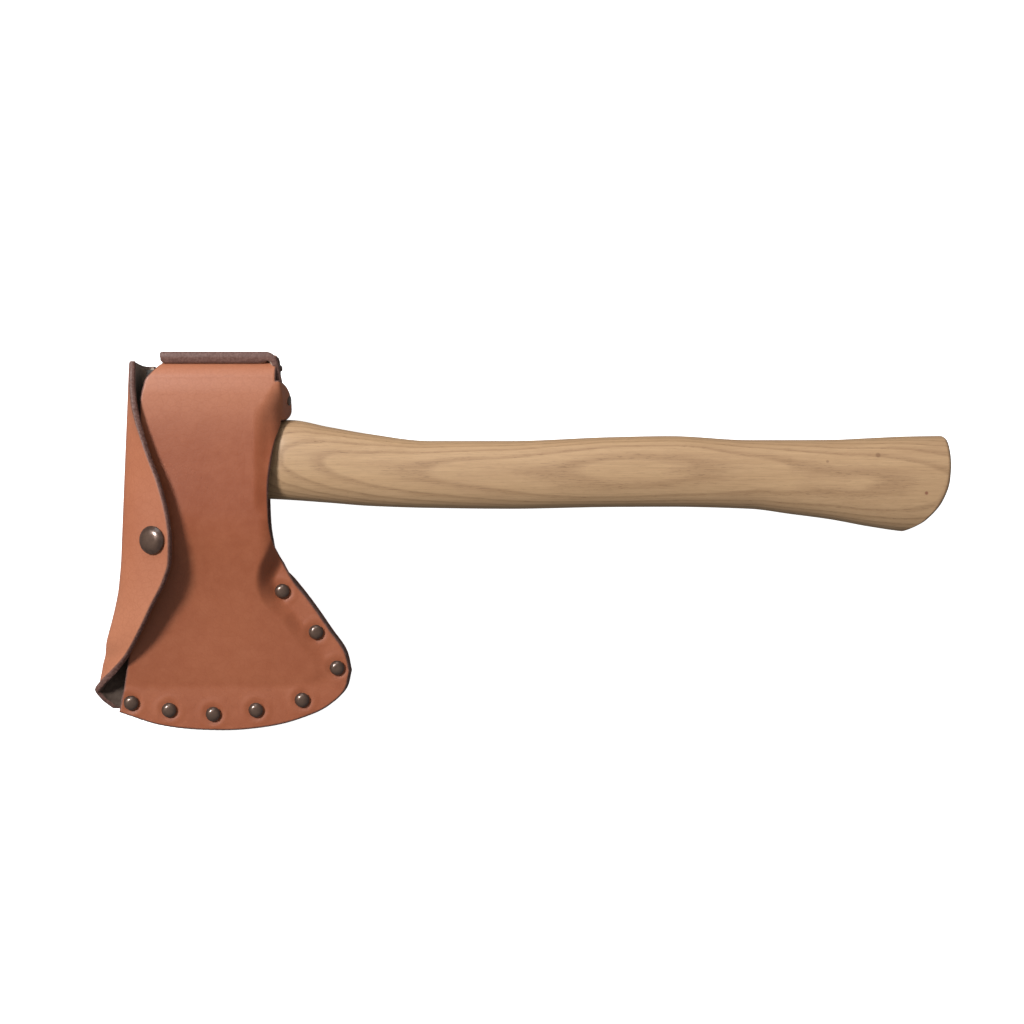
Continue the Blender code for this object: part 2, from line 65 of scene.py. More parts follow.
def centreMm(node):
    low, high = boxMm(node)
    return (low + high) / 2


# cubic through values at knots, with a slope at each knot
def cubicAt(knots, values, slope, places):
    i = np.clip(np.searchsorted(knots, places) - 1, 0, len(knots) - 2)
    step = knots[i + 1] - knots[i]
    t = (places - knots[i]) / step
    bend = t * t * (3 - 2 * t)
    tangents = slope[i] * t * (1 - t) ** 2 + slope[i + 1] * t * t * (t - 1)
    return values[i] + (values[i + 1] - values[i]) * bend + tangents * step


# curve through (place, value) pairs that never overshoots: a knot's slope is the harmonic mean of its
# neighbours'
def smoothAt(pairs, places):
    knots, values = np.array(sorted(pairs), float).T
    rise = np.diff(values) / np.diff(knots)
    before, after = rise[:-1], rise[1:]
    sameWay = before * after > 0
    middle = np.where(sameWay, 2 * before * after / np.where(sameWay, before + after, 1), 0)
    slope = np.concatenate([rise[:1], middle, rise[-1:]])
    return cubicAt(knots, values, slope, np.clip(np.asarray(places, float), knots[0], knots[-1]))


def runLength(line):
    return np.concatenate([[0], np.cumsum(np.linalg.norm(np.diff(line, axis=0), axis=1))])


# points of a polyline at shares 0 to 1 of its length
def resample(line, shares):
    run = runLength(line)
    return np.stack([np.interp(np.asarray(shares) * run[-1], run, axis) for axis in line.T], axis=1)


# smooth curve through given points, read at shares 0 to 1 of its length
def curveAt(points, shares):
    points = np.array(points, float)
    knots = runLength(points)
    fine = np.linspace(0, knots[-1], 60 * len(points))
    line = np.stack([cubicAt(knots, axis, np.gradient(axis, knots), fine) for axis in points.T], axis=1)
    return resample(line, shares)


def ease(t):
    t = np.clip(t, 0, 1)
    return t * t * (3 - 2 * t)


# cubic curve from a to d with handles b and c
def bezier(a, b, c, d, t):
    t = np.asarray(t, float)[:, None]
    return (1 - t) ** 3 * a + 3 * (1 - t) ** 2 * t * b + 3 * (1 - t) * t * t * c + t ** 3 * d


# shares 0 to 1 with fine steps at the ends that get a rounded edge; length is the run in millimetres
def edgedShares(count, length, first=True, last=True):
    fine = np.array([0, 0.08, 0.22, 0.42, 0.7, 1.1, 1.7]) / length
    low = fine if first else np.array([0.0])
    high = 1 - fine[::-1] if last else np.array([1.0])
    return np.concatenate([low, np.linspace(low[-1], high[0], count + 2)[1:-1], high])


# grid of plan points between four edges: each opposite pair is mixed, and the corners' share is taken off
def coons(bottom, top, left, right, across, along):
    a = np.asarray(across)[None, :, None]
    b = np.asarray(along)[:, None, None]
    between = (1 - b) * bottom[None] + b * top[None] + (1 - a) * left[:, None] + a * right[:, None]
    low = (1 - a) * (1 - b) * bottom[0] + a * (1 - b) * bottom[-1]
    high = (1 - a) * b * top[0] + a * b * top[-1]
    return between - (low + high)


# unit normals from the cross product of the two grid directions
def gridNormals(grid):
    normal = np.cross(np.gradient(grid, axis=1, edge_order=2), np.gradient(grid, axis=0, edge_order=2))
    return normal / np.maximum(np.linalg.norm(normal, axis=2, keepdims=True), 1e-12)


# distance of each grid point to a line, a row of points at a time
def distanceTo(grid, line):
    return np.stack([np.linalg.norm(row[:, None] - line[None], axis=2).min(axis=1) for row in grid])


# Closed mesh from four corners a face, turned outward by the sign of its volume, the sum of a . (b x c + c
# x d) / 6. Where two neighbouring corners are one point, as at a pole, the face is a triangle.
def makeMesh(name, points, quads, finish, body=None, values=None, replaced=(), sharp=50):
    a, b, c, d = (points[quads[:, k]] for k in range(4))
    if (a * (np.cross(b, c) + np.cross(c, d))).sum() < 0:
        quads = quads[:, ::-1]
    keep = quads != np.roll(quads, 1, axis=1)
    corners = quads[keep]
    size = keep.sum(axis=1)
    mesh = bpy.data.meshes.new(name)
    mesh.vertices.add(len(points))
    mesh.vertices.foreach_set("co", (np.asarray(points, float) * mm).astype(np.float32).ravel())
    for key, value in (values or {}).items():
        attribute = mesh.attributes.new(key, "FLOAT", "POINT")
        attribute.data.foreach_set("value", np.asarray(value, np.float32).ravel())
    mesh.loops.add(len(corners))
    mesh.loops.foreach_set("vertex_index", corners.astype(np.int32))
    mesh.polygons.add(len(quads))
    mesh.polygons.foreach_set("loop_start", (np.cumsum(size) - size).astype(np.int32))
    mesh.update(calc_edges=True)
    mesh.validate()
    mesh.shade_smooth()
    mesh.set_sharp_from_angle(angle=math.radians(sharp))
    mesh.materials.append(finish)
    piece = bpy.data.objects.new(name, mesh)
    bpy.context.scene.collection.objects.link(piece)
    if body:
        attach(piece, body)
    if replaced:
        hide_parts(*replaced)
    return piece


# joins points that round to the same weldStep, and drops faces left with under three corners
def weld(points, quads, values):
    key = np.round(points / weldStep).astype(np.int64)
    keep, number = np.unique(key, axis=0, return_index=True, return_inverse=True)[1:]
    quads = number.reshape(-1)[quads]
    order = np.sort(quads, axis=1)
    whole = (np.diff(order, axis=1) > 0).sum(axis=1) >= 2
    return points[keep], quads[whole], {k: np.asarray(v).ravel()[keep] for k, v in values.items()}


# faces of a grid of points stored row by row; wrap joins the last column to the first
def gridQuads(rows, columns, wrap=False):
    i, j = np.meshgrid(np.arange(rows - 1), np.arange(columns if wrap else columns - 1), indexing="ij")
    right = (j + 1) % columns
    row, above = i * columns, (i + 1) * columns
    return np.stack([row + j, row + right, above + right, above + j], axis=-1).reshape(-1, 4)


# numbers of the points round a grid, in order
def borderOf(rows, columns):
    bottom = np.arange(columns)
    right = np.arange(1, rows) * columns + columns - 1
    top = (rows - 1) * columns + np.arange(columns - 2, -1, -1)
    left = np.arange(rows - 2, 0, -1) * columns
    return np.concatenate([bottom, right, top, left])


leatherStock = {
    "thickness": 3.0, "gap": 0.3, "roll": 1.05, "darkBand": 0.3, "darkFade": 0.7, "lineStep": 0.25,
    "sharp": 50,
}


# Leather sheet from a grid on its grain side. Each point goes down by roll - sqrt(roll^2 - (roll - d)^2),
# where d is its distance to the cut edge, and the flesh side goes up by the same, which rounds the edge as
# a burnisher does. Swell is what the sheet is thicker by, a number or one for each point. The lighter-grain
# share of each point is painted light where light falls, and in part pull-up where the leather is bent.
def leatherSheet(name, outer, normal, finish, cutEdges, pullUpAndLight, body=None, replaced=(), swell=0.0):
    stock = leatherStock
    rows, columns = outer.shape[:2]
    count = rows * columns
    roll = stock["roll"]
    lines = []
    for edge in cutEdges:
        steps = int(runLength(edge)[-1] / stock["lineStep"]) + 2
        lines.append(resample(edge, np.linspace(0, 1, steps)))
    distance = distanceTo(outer, np.concatenate(lines))
    inside = np.clip(roll - distance, 0, roll)
    sink = (roll - np.sqrt(roll ** 2 - inside ** 2))[..., None]
    face = outer - normal * sink
    back = outer - normal * (stock["thickness"] + swell - sink)
    dark = 1 - ease((distance - stock["darkBand"]) / stock["darkFade"])
    points = np.concatenate([face.reshape(-1, 3), back.reshape(-1, 3)])
    values = {"cutEdge": np.tile(dark.ravel(), 2), "flesh": np.repeat([0.0, 1.0], count),
              "pullUpAndLight": np.concatenate([pullUpAndLight.ravel(), np.zeros(count)])}
    front = gridQuads(rows, columns)
    border = borderOf(rows, columns)
    after = np.roll(border, -1)
    walls = np.stack([after, border, border + count, after + count], axis=1)
    quads = np.concatenate([front, front[:, ::-1] + count, walls])
    points, quads, values = weld(points, quads, values)
    return makeMesh(name, points, quads, finish, body, values, replaced, stock["sharp"])


# closed piece from rings of points, joined round and along; a ring drawn to one point closes an end
def makeTube(name, rings, finish, values, node, sharp=40, body=rootBody):
    quads = gridQuads(*rings.shape[:2], wrap=True)
    points, quads, values = weld(rings.reshape(-1, 3), quads, values)
    makeMesh(name, points, quads, finish, body, values, [node], sharp)


# Body of revolution: (radius, distance) pairs carried round an axis through centre, closed at both poles.
# Worn is how rubbed it is: one share for the whole piece, or one for each pair.
def turnedPiece(name, profile, centre, axis, finish, body, node, segments, worn):
    axis = np.array(axis, float) / np.linalg.norm(axis)
    side = np.cross([0.0, 1.0, 0.0], axis)
    side = side / np.linalg.norm(side)
    other = np.cross(axis, side)
    profile = np.array(profile, float)
    angle = np.arange(segments) * 2 * math.pi / segments
    circle = np.cos(angle)[:, None] * side + np.sin(angle)[:, None] * other
    rings = np.array(centre) + circle[None] * profile[:, 0, None, None] + axis * profile[:, 1, None, None]
    worn = np.repeat(np.broadcast_to(worn, len(profile))[:, None], segments, axis=1)
    makeTube(name, rings, finish, {"worn": worn}, node, body=body)


# a number or colour travelling through a node tree; Python's operators on it add Math nodes
class Flow:
    def __init__(self, finish, socket):
        self.finish = finish
        self.socket = socket

    def join(self, operation, *values):
        return self.finish.add("ShaderNodeMath", {"operation": operation}, dict(enumerate(values)))

    def __add__(self, other):
        return self.join("ADD", self, other)

    def __sub__(self, other):
        return self.join("SUBTRACT", self, other)

    def __mul__(self, other):
        return self.join("MULTIPLY", self, other)

    def __truediv__(self, other):
        return self.join("DIVIDE", self, other)

    def __pow__(self, other):
        return self.join("POWER", self, other)

    def __rsub__(self, other):
        return self.join("SUBTRACT", other, self)

    __radd__ = __add__
    __rmul__ = __mul__

    def fraction(self):
        return self.join("FRACT", self)

    def clamped(self):
        return self.finish.add("ShaderNodeClamp", {}, {0: self})

    def between(self, low, high):
        settings = {"interpolation_type": "SMOOTHSTEP"}
        return self.finish.add("ShaderNodeMapRange", settings, {0: self, 1: low, 2: high})


class Finish:
    def __init__(self, name):
        self.material = bpy.data.materials.new(name)
        self.material.use_nodes = True
        self.tree = self.material.node_tree
        self.shader = self.tree.nodes["Principled BSDF"]

    # a flow goes into a socket as a link, anything else as the socket's own value
    def feed(self, socket, value):
        if isinstance(value, Flow):
            self.tree.links.new(value.socket, socket)
        else:
            socket.default_value = value

    # adds a node: its settings first, then what goes into its sockets
    def add(self, kind, settings=None, sockets=None, output=0):
        node = self.tree.nodes.new(kind)
        for key, value in (settings or {}).items():
            setattr(node, key, value)
        for key, value in (sockets or {}).items():
            self.feed(node.inputs[key], value)
        return Flow(self, node.outputs[output])

    # object coordinates in millimetres, stretched and turned by a Mapping node
    def place(self, scale=(1, 1, 1), shift=(0, 0, 0), turn=(0, 0, 0)):
        coordinates = self.add("ShaderNodeTexCoord", output=3)
        millimetres = [s / mm for s in scale]
        return self.add("ShaderNodeMapping", {}, {0: coordinates, 1: shift, 2: turn, 3: millimetres})

    def parts(self, vector):
        return [self.add("ShaderNodeSeparateXYZ", {}, {0: vector}, output=k) for k in range(3)]

    # size is in millimetres, one over the node's scale
    def noise(self, vector, size, detail=3.0, roughness=0.5):
        sockets = {"Vector": vector, "Scale": 1 / size, "Detail": detail, "Roughness": roughness}
        return self.add("ShaderNodeTexNoise", {}, sockets)

    def cells(self, vector, size, feature="F1"):
        return self.add("ShaderNodeTexVoronoi", {"feature": feature}, {"Vector": vector, "Scale": 1 / size})

    def attribute(self, name):
        return self.add("ShaderNodeAttribute", {"attribute_name": name}, output=2)

    def mix(self, share, a, b):
        a = a if isinstance(a, Flow) else (*a, 1)
        b = b if isinstance(b, Flow) else (*b, 1)
        return self.add("ShaderNodeMix", {"data_type": "RGBA"}, {0: share, 6: a, 7: b}, output=2)

    # depth is the height of the relief in millimetres; under is the relief that this one lies on
    def bump(self, height, depth, strength=1.0, under=None):
        sockets = {"Height": height, "Distance": depth * mm, "Strength": strength}
        if under:
            sockets["Normal"] = under
        return self.add("ShaderNodeBump", {}, sockets)

    def distanceFrom(self, coordinates, point):
        settings = {"operation": "DISTANCE"}
        return self.add("ShaderNodeVectorMath", settings, {0: coordinates, 1: point}, output=1)

    def connect(self, **sockets):
        for key, value in sockets.items():
            self.feed(self.shader.inputs[key.replace("_", " ")], value)
        return self.material


russetLook = {
    "grain": (0.342, 0.092, 0.037), "light": (0.392, 0.122, 0.052), "deep": (0.270, 0.066, 0.024),
    # the first colour on the next line is lighter grain for painted light, in part pull-up of bent leather
    "pullUpAndLight": (0.640, 0.268, 0.150), "cut": (0.128, 0.058, 0.044), "cutLight": (0.205, 0.108, 0.088),
    # the last colour on the next line is the flesh side's painted light towards the poll; its y limits and
    # share follow below
    "flesh": (0.066, 0.042, 0.031), "fleshLight": (0.100, 0.070, 0.052), "fleshPaintedLight": (0.520, 0.420, 0.340),
    "cloudSize": 26.0, "mottleSize": 5.5, "creaseSize": 3.4, "pebbleSize": 0.85, "speckSize": 0.9,
    "poreSize": 0.55,
    # the first share on the next line is how far the grain goes towards its painted light colour
    "pullUpAndLightShare": 0.62, "fleshLitFrom": 4.0, "fleshLitTo": 44.0, "fleshLitShare": 0.85, "roughness": 0.47, "fleshRough": 0.38,
    "cutRough": 0.10, "grainDepth": 0.05, "fuzzDepth": 0.12, "darkDot": (11.1, 22.3, 33.4),
    "darkDotSize": 0.6,
}


# Waxed leather: pebbled cells and pores over cloudy tone, dark burnished cut edges, a matt fibrous flesh
# side. The grain is painted lighter where light falls, on the flap and on the panels' top by the poll; in
# part that is pull-up of bent leather. Colour darkens along the grain's creases as painted shade. The flesh
# side is painted lighter towards the poll, as painted light in the shaded hollow under the flap's top. A
# small dark dot is painted in the grain at one point.
def russetLeather():
    look = russetLook
    finish = Finish("waxedLeather")
    at = finish.place()
    cloud = finish.noise(at, look["cloudSize"], 4, 0.55)
    mottle = finish.noise(at, look["mottleSize"], 5, 0.62)
    speck = finish.noise(at, look["speckSize"], 3, 0.6)
    pebble = finish.cells(finish.place(shift=(3.1, 7.7, 1.3)), look["pebbleSize"])
    crease = finish.cells(at, look["creaseSize"], "DISTANCE_TO_EDGE")
    pore = finish.cells(at, look["poreSize"])
    pull = finish.attribute("pullUpAndLight")
    scratchAt = finish.place((0.06, 1.1, 0.5), turn=(0, 0, 0.7))
    scratch = finish.noise(scratchAt, 1.6, 4, 0.7).between(0.66, 0.74)

    tone = (cloud * 0.55 + mottle * 0.45).between(0.32, 0.68)
    color = finish.mix(tone, look["deep"], look["light"])
    color = finish.mix(0.55, color, look["grain"])
    # painted light, in part pull-up: lighter grain where light falls, on the flap and on the panels' top by
    # the poll
    color = finish.mix(pull * look["pullUpAndLightShare"], color, look["pullUpAndLight"])
    color = finish.mix((speck - 0.5) * 0.35 + 0.12, color, look["deep"])
    # painted shade: colour darker along the grain's creases
    color = finish.mix((1.0 - crease.between(0.0, 0.12)) * 0.10, color, look["deep"])
    color = finish.mix(scratch * 0.16, color, look["light"])
    # a small dark dot painted in the grain at one point
    dotShare = 1.0 - finish.distanceFrom(at, look["darkDot"]).between(0.25, look["darkDotSize"])
    color = finish.mix(dotShare * 0.85, color, look["cut"])

    fuzz = finish.noise(at, 0.35, 4, 0.7)
    flesh = finish.mix(finish.noise(at, 2.4, 5, 0.7).between(0.35, 0.7), look["flesh"], look["fleshLight"])
    flesh = finish.mix(fuzz.between(0.45, 0.75) * 0.3, flesh, look["fleshLight"])
    # painted light: the flesh side goes lighter towards the poll, in the shaded hollow under the flap's top
    paintedFleshLight = finish.parts(at)[1].between(look["fleshLitFrom"], look["fleshLitTo"])
    flesh = finish.mix(paintedFleshLight * look["fleshLitShare"], flesh, look["fleshPaintedLight"])
    cut = finish.mix(finish.noise(at, 1.1, 5, 0.7).between(0.38, 0.68), look["cut"], look["cutLight"])
    isFlesh = finish.attribute("flesh").between(0.35, 0.65)
    isCut = finish.attribute("cutEdge").clamped()
    color = finish.mix(isFlesh, color, flesh)
    color = finish.mix(isCut, color, cut)

    rough = look["roughness"] + (mottle - 0.5) * 0.22 - pebble * 0.06 + scratch * 0.08
    rough = rough + isFlesh * look["fleshRough"] + isCut * look["cutRough"]
    grainHeight = pebble * 0.5 + (1.0 - crease.between(0.0, 0.10)) * -0.35 + pore * 0.18 + mottle * 0.9
    relief = finish.bump(grainHeight * (1.0 - isFlesh * 0.7), look["grainDepth"], 0.55)
    relief = finish.bump(fuzz * (isFlesh + isCut * 0.6) + scratch * -0.25, look["fuzzDepth"], 0.5, relief)
    finish.connect(Base_Color=color, Roughness=rough.clamped(), Normal=relief)
    return finish.connect(Specular_IOR_Level=0.42, Sheen_Weight=0.04, Sheen_Roughness=0.4)


ashLook = {
    "pale": (0.600, 0.388, 0.214), "early": (0.340, 0.195, 0.098), "late": (0.505, 0.310, 0.165),
    "heart": (0.400, 0.235, 0.135), "pore": (0.250, 0.140, 0.070), "end": (0.150, 0.082, 0.046),
    "ring": 1.55, "heartY": -4.0, "heartDepth": 36.0, "roundness": 0.12, "crownX": 185.0, "taper": 0.00023,
    "waver": 2.6, "sway": 6.0, "roughness": 0.44, "endShare": 0.78,
}


# Ash: growth rings are wide tubes round a line far below the haft, sqrt(k across^2 + depth^2), that rise to
# a crown along it, so the flat-sawn face shows flames. A ring darkens through its share to a porous line;
# fibres run along +X.
def ashWood():
    look = ashLook
    finish = Finish("oiledAsh")
    at = finish.place()
    x, y, z = finish.parts(at)
    slow = finish.noise(finish.place((0.16, 0.8, 0.8)), 17, 3, 0.5)
    sway = finish.noise(finish.place((0.05, 0.3, 0.3), shift=(40, 0, 0)), 6, 2, 0.5)
    across = y - look["heartY"] + (sway - 0.5) * look["sway"]
    depth = z - midHeight + look["heartDepth"] + (slow - 0.5) * look["waver"]
    past = x - look["crownX"]
    reach = (across * across * look["roundness"] + depth * depth) ** 0.5 - past * past * look["taper"]
    share = (reach / look["ring"]).fraction()
    line = share.between(0.45, 0.86) * (1.0 - share.between(0.86, 1.0))
    fibre = finish.noise(finish.place((0.035, 1.0, 1.0)), 0.55, 5, 0.65)
    strand = finish.noise(finish.place((0.02, 1.0, 1.0), shift=(9, 4, 2)), 2.1, 4, 0.6)
    pores = finish.noise(finish.place((0.10, 1.6, 1.6)), 0.42, 2, 0.5).between(0.58, 0.66)
    cloud = finish.noise(finish.place((0.2, 1, 1)), 14, 3, 0.5)

    color = finish.mix(strand.between(0.3, 0.7) * 0.55, look["pale"], look["late"])
    color = finish.mix(share.between(0.0, 0.8) * 0.14, color, look["heart"])
    color = finish.mix(line * (0.08 + fibre * 0.72), color, look["early"])
    color = finish.mix(pores * (0.20 + line * 0.5), color, look["pore"])
    color = finish.mix((fibre - 0.5) * 1.15 + 0.10, color, look["early"])
    color = finish.mix(cloud.between(0.5, 0.75) * 0.22, color, look["heart"])
    for spot in ashSpots:
        near = 1.0 - finish.distanceFrom(at, spot["at"]).between(spot["size"] * 0.4, spot["size"])
        color = finish.mix(near * spot["strength"], color, spot["color"])
    color = finish.mix(finish.attribute("endGrain").clamped() * look["endShare"], color, look["end"])
    rough = look["roughness"] + (fibre - 0.5) * 0.22 + line * 0.10
    relief = finish.bump(fibre * 0.6 - pores * 0.8 - line * 0.5, 0.05, 0.5)
    finish.connect(Base_Color=color, Roughness=rough.clamped(), Normal=relief)
    return finish.connect(Specular_IOR_Level=0.40, Coat_Weight=0.06, Coat_Roughness=0.35)


steelLook = {
    "dark": (0.050, 0.045, 0.041), "mid": (0.092, 0.084, 0.077), "bright": (0.42, 0.41, 0.40),
    "groundTo": -92.0, "groundFrom": -80.0,
}


# Forged steel: dark scale in cloudy patches over brighter metal, ground marks near the bit.
def forgedSteel():
    look = steelLook
    finish = Finish("forgedScale")
    at = finish.place()
    y = finish.parts(at)[1]
    scale = finish.noise(at, 7, 6, 0.62)
    pit = finish.noise(at, 0.9, 4, 0.6)
    grind = finish.noise(finish.place((0.12, 1.4, 1.4)), 0.7, 3, 0.6)
    ground = 1.0 - y.between(look["groundTo"], look["groundFrom"])
    color = finish.mix(scale.between(0.35, 0.65), look["dark"], look["mid"])
    color = finish.mix(pit.between(0.55, 0.75) * 0.5, color, look["mid"])
    color = finish.mix(ground * (0.7 + grind * 0.3), color, look["bright"])
    rough = 0.52 - scale * 0.12 + pit * 0.12 - ground * 0.14 + grind * 0.08
    relief = finish.bump(scale * 0.8 + pit * 0.4 + grind * ground * 0.3, 0.12, 0.5)
    finish.connect(Base_Color=color, Roughness=rough.clamped(), Normal=relief)
    return finish.connect(Metallic=1.0)


bronzeLook = {"dark": (0.090, 0.048, 0.032), "worn": (0.160, 0.098, 0.068), "patina": (0.060, 0.031, 0.021)}


# Darkened bronze: brown patina in the hollows, rubbed lighter on the dome, fine turning and handling
# scratches.
def darkBronze():
    look = bronzeLook
    finish = Finish("agedBronze")
    at = finish.place()
    cloud = finish.noise(at, 2.6, 4, 0.6)
    fine = finish.noise(at, 0.32, 3, 0.6)
    scratch = finish.noise(finish.place((0.3, 2.2, 1.0), turn=(0, 0, 0.5)), 0.5, 3, 0.7).between(0.64, 0.70)
    worn = finish.attribute("worn").clamped()
    color = finish.mix(cloud.between(0.35, 0.65), look["patina"], look["dark"])
    color = finish.mix(worn * (0.35 + cloud * 0.5), color, look["worn"])
    color = finish.mix(scratch * 0.25, color, look["worn"])
    rough = 0.34 + (cloud - 0.5) * 0.16 + fine * 0.06 - worn * 0.05
    relief = finish.bump(cloud * 0.5 + fine * 0.25 - scratch * 0.3, 0.03, 0.5)
    finish.connect(Base_Color=color, Roughness=rough.clamped(), Metallic=0.25 + worn * 0.2, Normal=relief)
    return finish.connect(Coat_Weight=0.75, Coat_Roughness=0.13)


wedgeLook = {"pale": (0.50, 0.33, 0.18), "line": (0.26, 0.14, 0.07)}


# Wedge wood, seen on its end: short rings and dots, a little crushed by the hammer.
def wedgeWood():
    look = wedgeLook
    finish = Finish("wedgeEnd")
    at = finish.place()
    ring = finish.noise(finish.place((1, 1.6, 0.25)), 1.2, 4, 0.6)
    dots = finish.cells(finish.place((0.3, 1, 1)), 0.5)
    color = finish.mix(ring.between(0.4, 0.65), look["pale"], look["line"])
    color = finish.mix((1.0 - dots.between(0.08, 0.22)) * 0.4, color, look["line"])
    relief = finish.bump(ring * 0.6 + dots * 0.4, 0.08, 0.6)
    rough = 0.62 + (ring - 0.5) * 0.2
    finish.connect(Base_Color=color, Roughness=rough, Normal=relief)
    return finish.connect(Specular_IOR_Level=0.35, Sheen_Weight=0.02)


midHeight = float(centreMm("edge_welt")[2])
pollY = float(boxMm("axe_head")[1][1])

haftShape = {
    "stations": [
        (-26, 19.0, -16.0, 9.4), (0, 18.0, -15.0, 9.0), (27, 19.0, -16.0, 9.3), (39, 19.4, -16.6, 10.7),
        (57, 16.2, -17.9, 10.9), (75, 13.1, -19.3, 10.7), (102, 10.0, -20.2, 10.4), (138, 10.0, -20.6, 10.5),
        (183, 11.7, -19.8, 10.9), (210, 12.2, -19.7, 10.9), (246, 10.4, -20.6, 10.7),
        (264, 10.4, -22.9, 10.9), (282, 10.5, -25.3, 11.4), (300, 11.3, -28.6, 12.0),
        (316, 12.0, -30.8, 12.4), (340, 12.4, -32.0, 12.4),
    ],
    "buttFace": [(-1.0, 315.9), (-0.77, 323.3), (-0.35, 330.2), (0.07, 333.2), (0.5, 333.9), (0.9, 333.6),
                 (1.0, 333.0)],
    "buttRound": 1.7, "buttRings": (0.8, 0.65, 0.5, 0.35, 0.2, 0.08, 0.0), "start": -26.0, "eyeY": 1.5,
    "square": 0.88, "rings": 240, "segments": 112,
}
ashSpots = [
    {"at": (322.5, -13.6, 28.4), "size": 1.1, "strength": 0.75, "color": (0.23, 0.065, 0.04)},
    {"at": (301.5, 3.2, 26.4), "size": 1.5, "strength": 0.6, "color": (0.20, 0.10, 0.05)},
    {"at": (279.0, 0.4, 26.7), "size": 0.9, "strength": 0.5, "color": (0.22, 0.11, 0.06)},
]


# Haft: a ring at x is a rounded oval, y = centre + half height * s(sin a), z = half thickness * s(cos a),
# where s(v) is v to the power "square" with its sign. The last rings shrink along the butt's own curve and
# close on a point.
def makeHaft(finish):
    shape = haftShape
    stationX, up, down, half = zip(*shape["stations"])
    top, bottom, thick = (list(zip(stationX, side)) for side in (up, down, half))
    angle = np.arange(shape["segments"]) * 2 * math.pi / shape["segments"]
    rise = np.sign(np.sin(angle)) * np.abs(np.sin(angle)) ** shape["square"]
    width = np.sign(np.cos(angle)) * np.abs(np.cos(angle)) ** shape["square"]

    def oval(x):
        high, low = smoothAt(top, x), smoothAt(bottom, x)
        y = (high + low) / 2 + rise * (high - low) / 2
        return np.stack([x, y, midHeight + width * smoothAt(thick, x)], axis=-1)

    buttX = smoothAt(shape["buttFace"], rise) - shape["buttRound"]
    along = np.linspace(0, 1, shape["rings"])[:, None]
    rings = oval(shape["start"] + along * (buttX - shape["start"]))
    last = rings[-1]
    middle = (last[:, 1].max() + last[:, 1].min()) / 2
    half = (last[:, 1].max() - last[:, 1].min()) / 2
    centre = np.array([0, middle, midHeight])
    turn = np.radians(np.linspace(0, 90, 9)[1:])
    pulls = list(1 - shape["buttRound"] / half * (1 - np.cos(turn)))
    backs = list(shape["buttRound"] * (1 - np.sin(turn)))
    flat = pulls[-1]
    for share in shape["buttRings"]:
        pulls.append(share * flat)
        backs.append(0.0)
    end = []
    for pull, back in zip(pulls, backs):
        ring = centre + (last - centre) * pull
        ring[:, 0] = smoothAt(shape["buttFace"], (ring[:, 1] - middle) / half) - back
        end.append(ring)
    eye = np.array([shape["start"], shape["eyeY"], midHeight])
    front = [eye + (rings[0] - eye) * share for share in (0, 0.5)]
    grid = np.concatenate([front, rings, end])
    shade = np.zeros(grid.shape[:2])
    shade[-len(end):] = ease((np.arange(len(end)) + 1) / 5)[:, None]
    makeTube("haft_ash", grid, finish, {"endGrain": shade}, "haft", sharp=60)
    print("haft", grid.shape)


# A wedge in the eye: rounded rectangles along +X, closed on a point at both ends.
def makeWedge(name, node, finish, corner):
    low, high = boxMm(node)
    middle, half = (low + high) / 2, (high - low) / 2 - corner
    turns = np.radians(np.arange(0, 360, 90)[:, None] + np.linspace(0, 90, 5)[None]).ravel()
    sideY, sideZ = np.repeat([1, -1, -1, 1], 5) * half[1], np.repeat([1, 1, -1, -1], 5) * half[2]
    sections = [(low[0], 0.0, 0.0), (low[0], 1.0, 0.0), (low[0] + corner * 0.3, 1.0, 0.7),
                (low[0] + corner, 1.0, 1.0), (high[0], 1.0, 1.0), (high[0], 0.0, 0.0)]
    rings = []
    for x, size, soft in sections:
        y = middle[1] + sideY * size + corner * soft * np.cos(turns)
        z = middle[2] + sideZ * size + corner * soft * np.sin(turns)
        rings.append(np.stack([np.full(len(y), x), y, z], axis=1))
    makeTube(name, np.array(rings), finish, {}, node)


panelShape = {
    "weltHalf": 2.0, "flatRim": 7.7, "ramp": 8.3, "incline": 25.0, "wrap": 8.0,
    "headThickness": [(-105, 0.3), (-100, 2.0), (-75, 5.4), (-60, 7.7), (-50, 9.5), (-40, 11.3), (-31, 12.6),
                      (-22, 13.1), (-10, 13.2), (30, 13.1), (pollY, 12.0)],
    # lighter-grain share by y: painted light where light falls, most by the poll, in part pull-up
    "pullUpAndLight": [(-120, 0.1), (-95, 0.2), (-70, 0.2), (-45, 0.15), (-20, 0.0), (0, 0.03), (12, 0.2), (28, 0.75),
               (45, 1.0)],
    "rim": [
        (41.2, -52.4), (48.3, -61.3), (57.7, -74.7), (64.6, -85), (66.6, -93.5), (64.4, -101.5),
        (57.3, -108.4), (42.9, -114.9), (20, -119.2), (0, -119.4), (-18, -117.4), (-36.7, -111.6),
    ],
    "heelCorner": 4,
    "right": [(41.2, -52.4), (36.3, -43.3), (33.0, -33.0), (31.6, -20), (31.6, -8), (34.2, 8), (36.6, 17.5),
              (36.6, 26), (34.9, 36.5)],
    "beyondRim": [(52.0, -33.0), (47.0, -41.0), (43.2, -48.5)],
    "left": [(-36.7, -111.6), (-33.5, -95), (-30, -72), (-27.5, -45), (-25.5, -15), (-24.6, 5), (-25.0, 20),
             (-24.8, 28), (-22.9, 36.5)],
    "slopeStart": [(-112, -42), (-97, -37), (-60, -22), (-44, -14), (-24, -14), (0, -26), (45, -30)],
    "mouthDip": 1.5, "backTop": 40.6, "backEarX": 33.0, "frontTail": 14.0, "backTail": 20.0, "tailLean": 0.5,
    "frontShift": 6.5, "backShift": 5.0, "backInset": 3.4,
    "columns": 120, "rows": 190,
}
